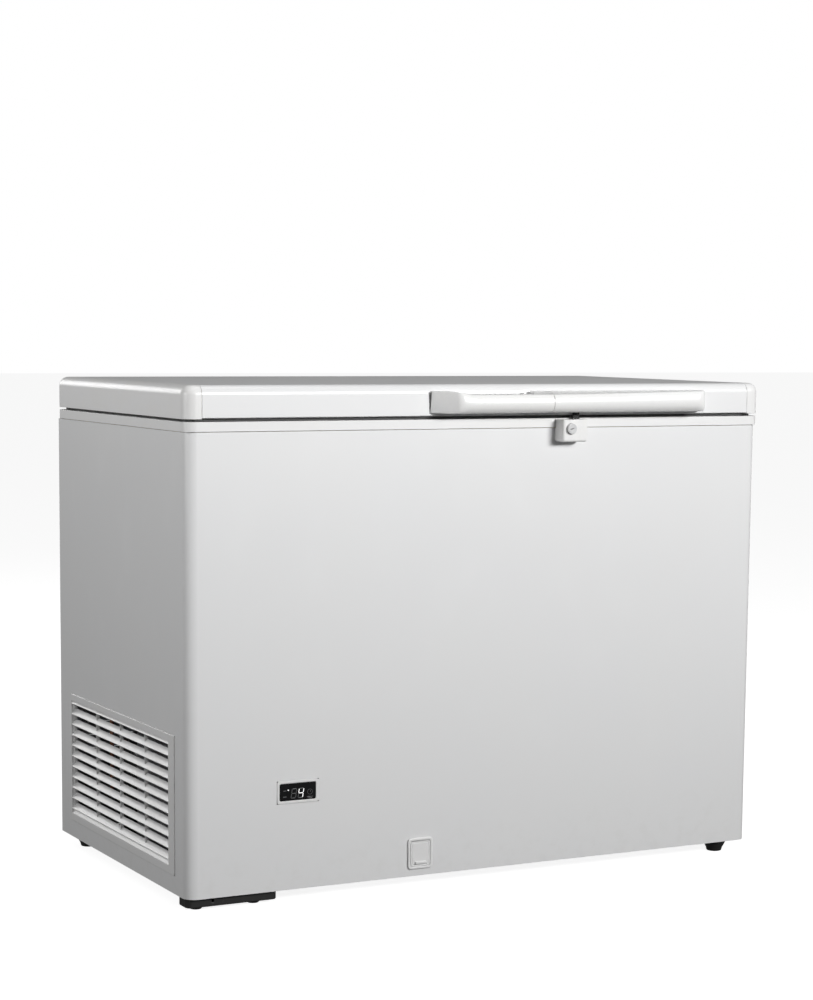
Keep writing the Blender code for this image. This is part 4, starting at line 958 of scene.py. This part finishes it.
def end_cap(name, sign, seam, outer):
    """A cap's rounded shell; it is hollow towards the lid's middle."""
    low, high = CAP_LOW, CAP_HIGH
    bm = bmesh.new()
    bmesh.ops.create_cube(bm, size=1)
    far = abs(outer)
    bmesh.ops.scale(bm, vec=(2 * far, high.y - low.y, high.z - low.z), verts=bm.verts)
    bmesh.ops.translate(bm, vec=(0, (low.y + high.y) / 2, (low.z + high.z) / 2), verts=bm.verts)
    upright = [e for e in bm.edges if abs(e.verts[0].co.z - e.verts[1].co.z) > 0.01]
    bmesh.ops.bevel(bm, geom=upright, offset=LID_CORNER, segments=10, profile=0.5, affect="EDGES")
    rim = [e for e in bm.edges if all(v.co.z > high.z - 1e-5 for v in e.verts)]
    bmesh.ops.bevel(bm, geom=rim, offset=LID_EDGE, segments=9, profile=0.5, affect="EDGES")
    everything = bm.verts[:] + bm.edges[:] + bm.faces[:]
    bmesh.ops.bisect_plane(bm, geom=everything, plane_co=(seam, 0, 0), plane_no=(-sign, 0, 0),
                           clear_outer=True)
    bmesh.ops.recalc_face_normals(bm, faces=bm.faces)
    centre = Vector((outer - sign * 0.010, 0, (low.z + high.z) / 2))
    if any((f.calc_center_median() - centre).dot(f.normal) < 0 for f in bm.faces if abs(f.normal.x) > 0.99):
        bmesh.ops.reverse_faces(bm, faces=bm.faces)
    cap = new_object(name, to_mesh(bm, name))
    solid = cap.modifiers.new("wall", "SOLIDIFY")
    solid.thickness, solid.offset, solid.use_even_offset = 0.0022, -1, True
    return softened(applied(cap, name), 0.0004, 2, 60, 35)


def lid_lining():
    """The inner panel with its ribs, and the seal with its beads."""
    refined("lid_liner", "white_plastic", 0.0012, 2)
    low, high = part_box("lid_liner")
    ribs = []
    for x in spaced(low.x + 0.20, high.x - 0.20, 4):
        loop = rounded(centred(x, 0.022), (low.y + 0.085, high.y - 0.085), 0.0105, 6)
        rib = plate(f"rib_{len(ribs)}", loop, "Z", low.z + 0.0004, low.z - 0.0016)
        ribs.append(softened(rib, 0.0014, 3))
    settle(joined("lid_liner_ribs", ribs), "lid", "white_plastic")

    low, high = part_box("lid_gasket")
    width = 0.016
    seal = ring_plate("seal_body", rounded((low.x, high.x), (low.y, high.y), 0.012),
                      rounded((low.x + width, high.x - width), (low.y + width, high.y - width), 0.004),
                      "Z", low.z, high.z)
    seal = softened(seal, 0.0012, 3, 40)
    beads = []
    for inset in (0.0042, 0.0080, 0.0118):
        line = path_mesh([(u, v, low.z + 0.0009) for u, v in rounded((low.x + inset, high.x - inset),
                                                                     (low.y + inset, high.y - inset),
                                                                     max(0.012 - inset, 0.003), 6)], True)
        beads.append(grown(f"seal_bead_{len(beads)}", WIRES, line, radius=0.0010, bend=0.0, count=1,
                           step=(0, 0, 0), finish=FINISH["gasket_rubber"]))
    settle(joined("lid_seal", [seal] + beads), "lid", "gasket_rubber", None, "lid_gasket")


# ---- handle -------------------------------------------------------------------------------

def blend_value(x, stops):
    """A value along x between (place, value) stops, eased at each stop."""
    if x <= stops[0][0]:
        return stops[0][1]
    for (x0, v0), (x1, v1) in zip(stops, stops[1:]):
        if x <= x1:
            t = (x - x0) / (x1 - x0) if x1 > x0 else 1.0
            return v0 + (v1 - v0) * t
    return stops[-1][1]


def bar_section(x, front, bulge, bottom, top, bar_back, back, roof, top_back, crest=None, relief=0.0):
    """One slice of the handle: a bowed front, a roof that may rise towards the lid, a hollow under it.

    The roof rises as far back as crest and drops to the bar's top behind it. The relief is a
    chamfer at the top's back edge.
    """
    half, middle = (top - bottom) / 2, (top + bottom) / 2
    steps = 16
    points = []
    for i in range(steps + 1):
        angle = math.pi * (i / steps - 0.5)
        ease = 1 - abs(math.cos(angle)) ** 0.9
        fuller = 2.1 if angle < 0 else 1.0
        points.append((x, front + bulge * ease * fuller, middle + half * math.sin(angle)))
    start, whole = front + bulge, crest is None
    crest = back if whole else min(max(crest, start + 0.0004), back)
    risen = top + (top_back - top) * (crest - start) / (back - start)
    behind = risen if whole else top
    near = min(crest, back - relief)
    outline = [((start + near) / 2, (top + risen) / 2), (near - 0.0002, risen), (near - 0.0001, behind),
               (back - relief, behind), (back, behind - relief), (back, roof), (bar_back, roof),
               (bar_back, bottom)]
    return points + [(x, y, z) for y, z in outline]


def handle():
    """The lever with its oblique end block, and the grip; a low hood crosses the joint."""
    low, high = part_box("handle_lever")
    grip_low, grip_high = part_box("handle_grip")
    front, bottom, block_top = low.y, low.z - 0.0015, high.z
    back, grip_back = high.y, grip_high.y
    bar_top = low.z + 0.0295
    thick, bulge = 0.018, 0.0078
    oblique = 0.0375
    shoulder = low.x + oblique
    gap_left, gap_right, hood_slant = low.x + 0.0475, low.x + 0.1795, 0.0095

    front_stops = [(low.x, back - 0.0008), (shoulder - 0.0060, front + 0.0064),
                   (shoulder - 0.0020, front + 0.0029), (shoulder + 0.0030, front + 0.0008),
                   (shoulder + 0.0080, front)]
    bulge_stops = [(low.x, 0.0006), (shoulder - 0.012, 0.0016), (shoulder + 0.012, bulge)]
    top_stops = [(low.x, block_top), (shoulder - 0.007, block_top), (shoulder - 0.002, block_top - 0.0008),
                 (shoulder + 0.008, (block_top + bar_top) / 2), (shoulder + 0.018, bar_top + 0.0008),
                 (shoulder + 0.023, bar_top)]
    places = sorted(set([low.x, low.x + 0.0006, shoulder - 0.012, shoulder - 0.006]
                        + [shoulder + 0.002 * i for i in range(-3, 12)]
                        + [gap_left - 0.0001, gap_left + 0.0012, gap_right - 0.0020, gap_right + 0.0001,
                           gap_right + 0.0004, gap_right + 0.0006, gap_right + hood_slant / 2,
                           gap_right + hood_slant - 0.0001, gap_right + hood_slant + 0.0001,
                           high.x - 0.0004, high.x]))
    sections = []
    for x in places:
        y = blend_value(x, front_stops)
        arm = x < gap_left or x > gap_right
        reach = back if arm else y + thick
        top = blend_value(x, top_stops)
        hood = x > gap_right + 0.0005
        rear_top = block_top if hood else top
        crest = y + (back - y) * (x - gap_right) / hood_slant if hood and x < gap_right + hood_slant else None
        roof = (bottom + top) / 2
        sections.append(bar_section(x, y, blend_value(x, bulge_stops), bottom, top,
                                    reach - 0.0002 if arm else reach, reach, roof, rear_top, crest,
                                    0.0030 if arm else 0.0))
    lever = softened(loft("lever_moulding", sections), 0.0005, 2, 45, 38)
    settle(lever, "lever", "white_plastic", HANDLE_PLASTIC, "handle_lever")

    slant = grip_high.x - 0.0205
    top_stops = [(grip_low.x, bar_top), (grip_low.x + 0.060, bar_top + 0.0006), (slant, block_top - 0.0006),
                 (grip_high.x, block_top - 0.0003)]
    front_stops = [(slant - 0.0080, front), (slant - 0.0030, front + 0.0008),
                   (slant + 0.0020, front + 0.0029), (slant + 0.0060, front + 0.0064),
                   (grip_high.x, grip_back - 0.0043)]
    bulge_stops = [(slant - 0.012, bulge), (slant + 0.012, 0.0016), (grip_high.x, 0.0006)]
    room = (grip_low.x + 0.006, grip_high.x - 0.040)
    slit = (grip_low.x + 0.0034, grip_low.x + 0.0058)
    places = sorted(set([grip_low.x, grip_low.x + 0.0004, slit[0] - 0.0001, slit[0] + 0.0001,
                         slit[1] - 0.0001, slit[1] + 0.0001, room[0] - 0.0001, room[0] + 0.0001,
                         room[0] + 0.05, room[0] + 0.11, room[0] + 0.17, room[0] + 0.22, room[1] - 0.0001, room[1] + 0.0001,
                         slant + 0.012, grip_high.x - 0.0006, grip_high.x]
                        + [slant + 0.002 * i for i in range(-11, 4)]))
    sections = []
    for x in places:
        y = blend_value(x, front_stops)
        hollow = room[0] < x < room[1]
        top = blend_value(x, top_stops)
        sections.append(bar_section(x, y, blend_value(x, bulge_stops), bottom, top,
                                    y + thick if hollow else grip_back - 0.0002, grip_back, bottom + 0.0240,
                                    bar_top - 0.0040 if slit[0] < x < slit[1] else block_top))
    grip = softened(loft("grip_moulding", sections), 0.0005, 2, 45, 38)
    settle(grip, "lid", "white_plastic", HANDLE_PLASTIC, "handle_grip")
    refined("handle_base", "white_plastic", 0.0006)
    refined("lever_pin", "zinc_steel", 0.0003)


# ---- lock ---------------------------------------------------------------------------------

def lock_block():
    """The housing: round at its foot and its left front edge, hollow where the cam and keeper move."""
    low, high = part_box("lock_housing")
    cam_low, cam_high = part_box("lock_cam")
    face_low, face_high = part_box("lock_cylinder")
    sections = []
    edge, turned = 0.0042, 0.0042
    levels = [(low.z + edge * (1 - math.cos(math.radians(a))), edge * (1 - math.sin(math.radians(a))))
              for a in (0, 18, 36, 54, 72, 90)]
    for z, inset in levels + [(high.z, 0.0)]:
        corner = arc((low.x + inset + turned, low.y + inset + turned), turned, 180, 270, 8)
        outline = [(high.x - inset, high.y), (low.x + inset, high.y)] + corner
        outline.append((high.x - inset, low.y + inset))
        sections.append([(x, y, z) for x, y in outline])
    housing = loft("lock_block", sections)
    step = block("step", (low.x - 0.01, high.x + 0.01), (FRAME_LOW.y - 0.0004, 0),
                 (FRAME_LOW.z - 0.0006, 0.9))
    across, level = (face_low.x + face_high.x) / 2, (face_low.z + face_high.z) / 2
    depth = (cam_low.y - 0.0008, cam_high.y + 0.0023)
    room = (across - 0.0128, across + 0.0278)
    chamber = block("chamber", room, depth, (low.z + 0.0030, high.z - 0.0025))
    mouth = block("mouth", (across + 0.0090, room[1]), depth, (level, 0.9))
    radius, outside, inside = 0.0094, 0.01, face_low.y - depth[0] - 0.002
    bore = lathe("bore", [(0, outside), (radius, outside), (radius, inside), (0, inside)],
                 (across, face_low.y, level), (0, -1, 0), 48)
    for tool in (step, chamber, mouth, bore):
        housing = cut(housing, tool)
    settle(softened(housing, 0.0003, 1, 60, 40), "cabinet", "white_plastic", HANDLE_PLASTIC, "lock_housing")


def lock():
    """The housing, the key face with its slot, the cam and the keeper."""
    lock_block()
    low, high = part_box("lock_cylinder")
    centre = ((low.x + high.x) / 2, low.y, (low.z + high.z) / 2)
    radius, length = 0.0090, high.y - low.y
    profile = [(0, -0.0003), (0.0052, -0.0003), (0.0056, 0.0), (0.0066, 0.0), (0.0070, -0.0003),
               (0.0074, -0.0003), (0.0078, 0.0), (0.0083, -0.0001), (0.0088, -0.0006), (radius, -0.0014),
               (radius, -length), (0, -length)]
    face = lathe("lock_face", profile, centre, (0, -1, 0), 64)
    key = block("key_slot", (-0.0036, 0.0036), (low.y - 0.01, low.y + 0.008), (-0.0008, 0.0008))
    turn = Matrix.Rotation(math.radians(-15), 4, "Y")
    key.data.transform(Matrix.Translation((centre[0], 0, centre[2])) @ turn)
    pin = lathe("key_pin", [(0, 0.002), (0.0013, 0.002), (0.0013, -0.008), (0, -0.008)],
                (centre[0] - 0.0026, centre[1], centre[2] - 0.0007), (0, -1, 0), 20)
    face = cut(cut(face, key), pin)
    face = softened(face, 0, smooth_angle=30)
    # The plated key face gets a pale diffuse coat: painted reflection in place of its bright mirror look.
    settle(face, "lock_barrel", "zinc_steel", PLATE_PAINTED_REFLECTION, "lock_cylinder")
    refined("lock_cam", "zinc_steel", 0.0003)
    # The keeper is black so that it reads as the shadow gap under the handle: painted shade.
    refined("lock_keeper", "black_painted_steel", 0.0002)


# ---- hinges -------------------------------------------------------------------------------

def hinges():
    """Two spring hinges with their screws."""
    for side in ("left", "right"):
        refined(f"hinge_bracket_{side}", "zinc_steel", 0.0005)
        refined(f"hinge_arm_{side}", "zinc_steel", 0.0005)
        refined(f"hinge_pin_{side}", "zinc_steel", 0.0006)
        refined(f"hinge_spring_{side}", "zinc_steel", 0, smooth_angle=80, flatten=0.01)
        low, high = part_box(f"hinge_bracket_{side}")
        middle = (low.x + high.x) / 2
        spots = [(middle + dx, high.y - 0.0040, z) for dx in (-0.011, 0.011) for z in (0.662, 0.735)]
        screws(f"hinge_bracket_screws_{side}", "cabinet", spots, TOWARDS_BACK, 0.0045, 0.0026)
        low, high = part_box(f"hinge_arm_{side}")
        spots = [(middle + dx, low.y + 0.0030, high.z - 0.012) for dx in (-0.010, 0.010)]
        screws(f"hinge_arm_screws_{side}", "lid", spots, TOWARDS_BACK, 0.0042, 0.0024)


# ---- compressor bay -----------------------------------------------------------------------

def bay():
    """The compressor, its pipes, the fan, and the finned condenser with its tube runs."""
    refined("compressor", "black_painted_steel", 0.0012, 2, 40, smooth_angle=35)
    refined("relay_cover", "black_plastic", 0.0008)
    for number in range(1, 5):
        refined(f"compressor_mount_{number}", "gasket_rubber", 0.0010, finish=MOUNT_RUBBER)
    for node in ("discharge_pipe", "liquid_pipe", "filter_drier"):
        refined(node, "copper", 0, smooth_angle=70, flatten=0.01)
    refined("fan_shroud", "black_plastic", 0.0008)
    refined("fan_motor", "zinc_steel", 0.0008)
    refined("fan_rotor", "black_plastic", 0.0005)
    refined("power_gland", "black_plastic", 0.0008, 2)

    low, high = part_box("condenser")
    width = high.y - low.y
    count = 88
    pitch = (width - 0.002) / (count - 1)
    start = Vector(((low.x + high.x) / 2, low.y + 0.001, (low.z + high.z) / 2))
    fins = grown("condenser_fins", FINS, points_mesh([start]),
                 size=(high.x - low.x, 0.0003, high.z - low.z - 0.004),
                 count=count, step=(0, pitch, 0), finish=FINISH["aluminium_fins"])
    settle(fins, "cabinet", "aluminium_fins", None, "condenser")
    runs = []
    reach = 0.0035
    for x in (low.x + 0.012, high.x - 0.012):
        points = []
        for i in range(8):
            z = low.z + 0.014 + i * (high.z - low.z - 0.028) / 7
            ends = [(x, low.y - reach + 0.004, z), (x, high.y + reach - 0.004, z)]
            points += ends if i % 2 == 0 else ends[::-1]
        runs.append(grown(f"condenser_run_{len(runs)}", WIRES, path_mesh(points), radius=0.0032,
                          bend=0.0060, count=1, step=(0, 0, 0), finish=FINISH["copper"]))
    settle(joined("condenser_tubes", runs), "cabinet", "copper")


# ---- basket -------------------------------------------------------------------------------

def basket():
    """Coated wires: hoops both ways, a double rim and two carrying bars."""
    low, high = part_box("wire_basket")
    wire, rim_wire = 0.0014, 0.0024
    inset = 0.0255
    x0, x1, y0, y1 = low.x + 0.0060, high.x - 0.0060, low.y + inset + 0.0015, high.y - inset - 0.0015
    top, bottom = high.z - rim_wire * 2, low.z + wire
    bend = 0.012
    end, side = 0.010, 0.012
    corners = ((x0, top), (x0, bottom), (x1, bottom), (x1, top))
    cross = path_mesh([(x, y0 + end, z) for x, z in corners])
    hoops = grown("basket_cross", WIRES, cross, radius=wire, bend=bend, count=18,
                  step=(0, (y1 - y0 - 2 * end) / 17, 0), finish=WIRE_COATING)
    under = bottom + 2 * wire
    long = path_mesh([(x0 + side, y, z) for y, z in ((y0, top), (y0, under), (y1, under), (y1, top))])
    lengthwise = grown("basket_long", WIRES, long, radius=wire, bend=bend, count=8,
                       step=((x1 - x0 - 2 * side) / 7, 0, 0), finish=WIRE_COATING)
    bands = []
    for z, radius in ((high.z - rim_wire, rim_wire), (0.66, wire), (0.72, wire), (0.61, wire)):
        loop = rounded((x0, x1), (y0, y1), 0.012, 5)
        bands.append(grown(f"basket_band_{len(bands)}", WIRES, path_mesh([(u, v, z) for u, v in loop], True),
                           radius=radius, bend=0.0, count=1, step=(0, 0, 0), finish=WIRE_COATING))
    handles = []
    for y, way in ((low.y + rim_wire, 1), (high.y - rim_wire, -1)):
        inner = y + way * 0.026
        corners = ((x0 + side, inner), (x0 + side, y), (x1 - side, y), (x1 - side, inner))
        line = path_mesh([(u, v, high.z - rim_wire) for u, v in corners])
        handles.append(grown(f"basket_rest_{len(handles)}", WIRES, line, radius=rim_wire, bend=0.010, count=1,
                             step=(0, 0, 0), finish=WIRE_COATING))
    whole = joined("basket_wires", [hoops, lengthwise] + bands + handles)
    whole.data.shade_smooth()
    settle(whole, "basket", "white_plastic", WIRE_COATING, "wire_basket")


# ---- assembly -----------------------------------------------------------------------------

for make in (cabinet_skins, rear, grille, display, drain, feet, lid, handle, lock, hinges, bay, basket):
    make()

# ---- studio -------------------------------------------------------------------------------

FLOOR = block("studio_floor", (-40, 40), (-40, 40), (-0.05, 0))
FLOOR.data.materials.append(pale_floor("studio_floor_paint"))
FLOOR.visible_diffuse = FLOOR.visible_glossy = False


def surroundings(above_horizon, below_horizon):
    """White to the eye; a soft grey room to everything that the object reflects."""
    world = bpy.data.worlds.new("studio")
    bpy.context.scene.world = world
    world.use_nodes = True
    nodes, links = world.node_tree.nodes, world.node_tree.links
    room, shown = nodes["Background"], nodes.new("ShaderNodeBackground")
    shown.inputs["Color"].default_value = grey(1.0)
    where, split, ramp = (nodes.new("ShaderNode" + kind) for kind in ("TexCoord", "SeparateXYZ", "MapRange"))
    ramp.interpolation_type = "SMOOTHSTEP"
    for label, value in (("From Min", -0.6), ("From Max", 0.6), ("To Min", below_horizon),
                         ("To Max", above_horizon)):
        ramp.inputs[label].default_value = value
    eye, choose = nodes.new("ShaderNodeLightPath"), nodes.new("ShaderNodeMixShader")
    for source, target in ((where.outputs["Generated"], split.inputs[0]),
                           (split.outputs["Z"], ramp.inputs["Value"]),
                           (ramp.outputs[0], room.inputs["Strength"]),
                           (eye.outputs["Is Camera Ray"], choose.inputs[0]),
                           (room.outputs[0], choose.inputs[1]), (shown.outputs[0], choose.inputs[2]),
                           (choose.outputs[0], nodes["World Output"].inputs["Surface"])):
        links.new(source, target)
    room.inputs["Color"].default_value = grey(1.0)


surroundings(0.10, 0.11)


def softbox(name, place, target, size, power):
    """A rectangular light at a place, turned to a target."""
    lamp = bpy.data.lights.new(name, "AREA")
    lamp.shape, lamp.size, lamp.size_y, lamp.energy = "RECTANGLE", size[0], size[1], power
    made = bpy.data.objects.new(name, lamp)
    made.location = place
    made.rotation_euler = (Vector(target) - Vector(place)).to_track_quat("-Z", "Y").to_euler()
    bpy.context.scene.collection.objects.link(made)


softbox("main_box", (1.55, -4.02, 1.99), (-0.45, -1.3, 4.11), (1.8, 1.2), 281)
softbox("left_fill", (-3.2, -0.4, 1.3), (-0.8, -0.4, 3.1), (1.2, 1.2), 50)
softbox("back_box", (-1.6, 3.7, 1.7), (0.3, 0.3, 0.5), (1.6, 1.2), 30)
softbox("top_box", (0.1, -0.2, 3.6), (0.0, 0.1, 0.8), (1.6, 1.2), 19)

# ---- camera -------------------------------------------------------------------------------

EYE = Vector((-1.9644, -3.7505, 0.9390))
YAW, PITCH, ROLL = math.radians(27.6007), math.radians(7.0062), math.radians(0.5103)
LENS, SENSOR, RISE = 85.41, 36.0, 0.1187
ahead = Vector((math.sin(YAW) * math.cos(PITCH), math.cos(YAW) * math.cos(PITCH), -math.sin(PITCH)))
across = Vector((math.cos(YAW), -math.sin(YAW), 0))
above = across.cross(ahead)
right = across * math.cos(ROLL) + above * math.sin(ROLL)
up = above * math.cos(ROLL) - across * math.sin(ROLL)
camera = bpy.data.cameras.new("camera")
camera.lens, camera.sensor_width, camera.shift_y = LENS, SENSOR, RISE
viewer = bpy.data.objects.new("camera", camera)
viewer.matrix_world = Matrix.Translation(EYE) @ Matrix((right, up, -ahead)).transposed().to_4x4()
bpy.context.scene.collection.objects.link(viewer)
bpy.context.scene.camera = viewer
bpy.context.scene.view_settings.view_transform = "Standard"
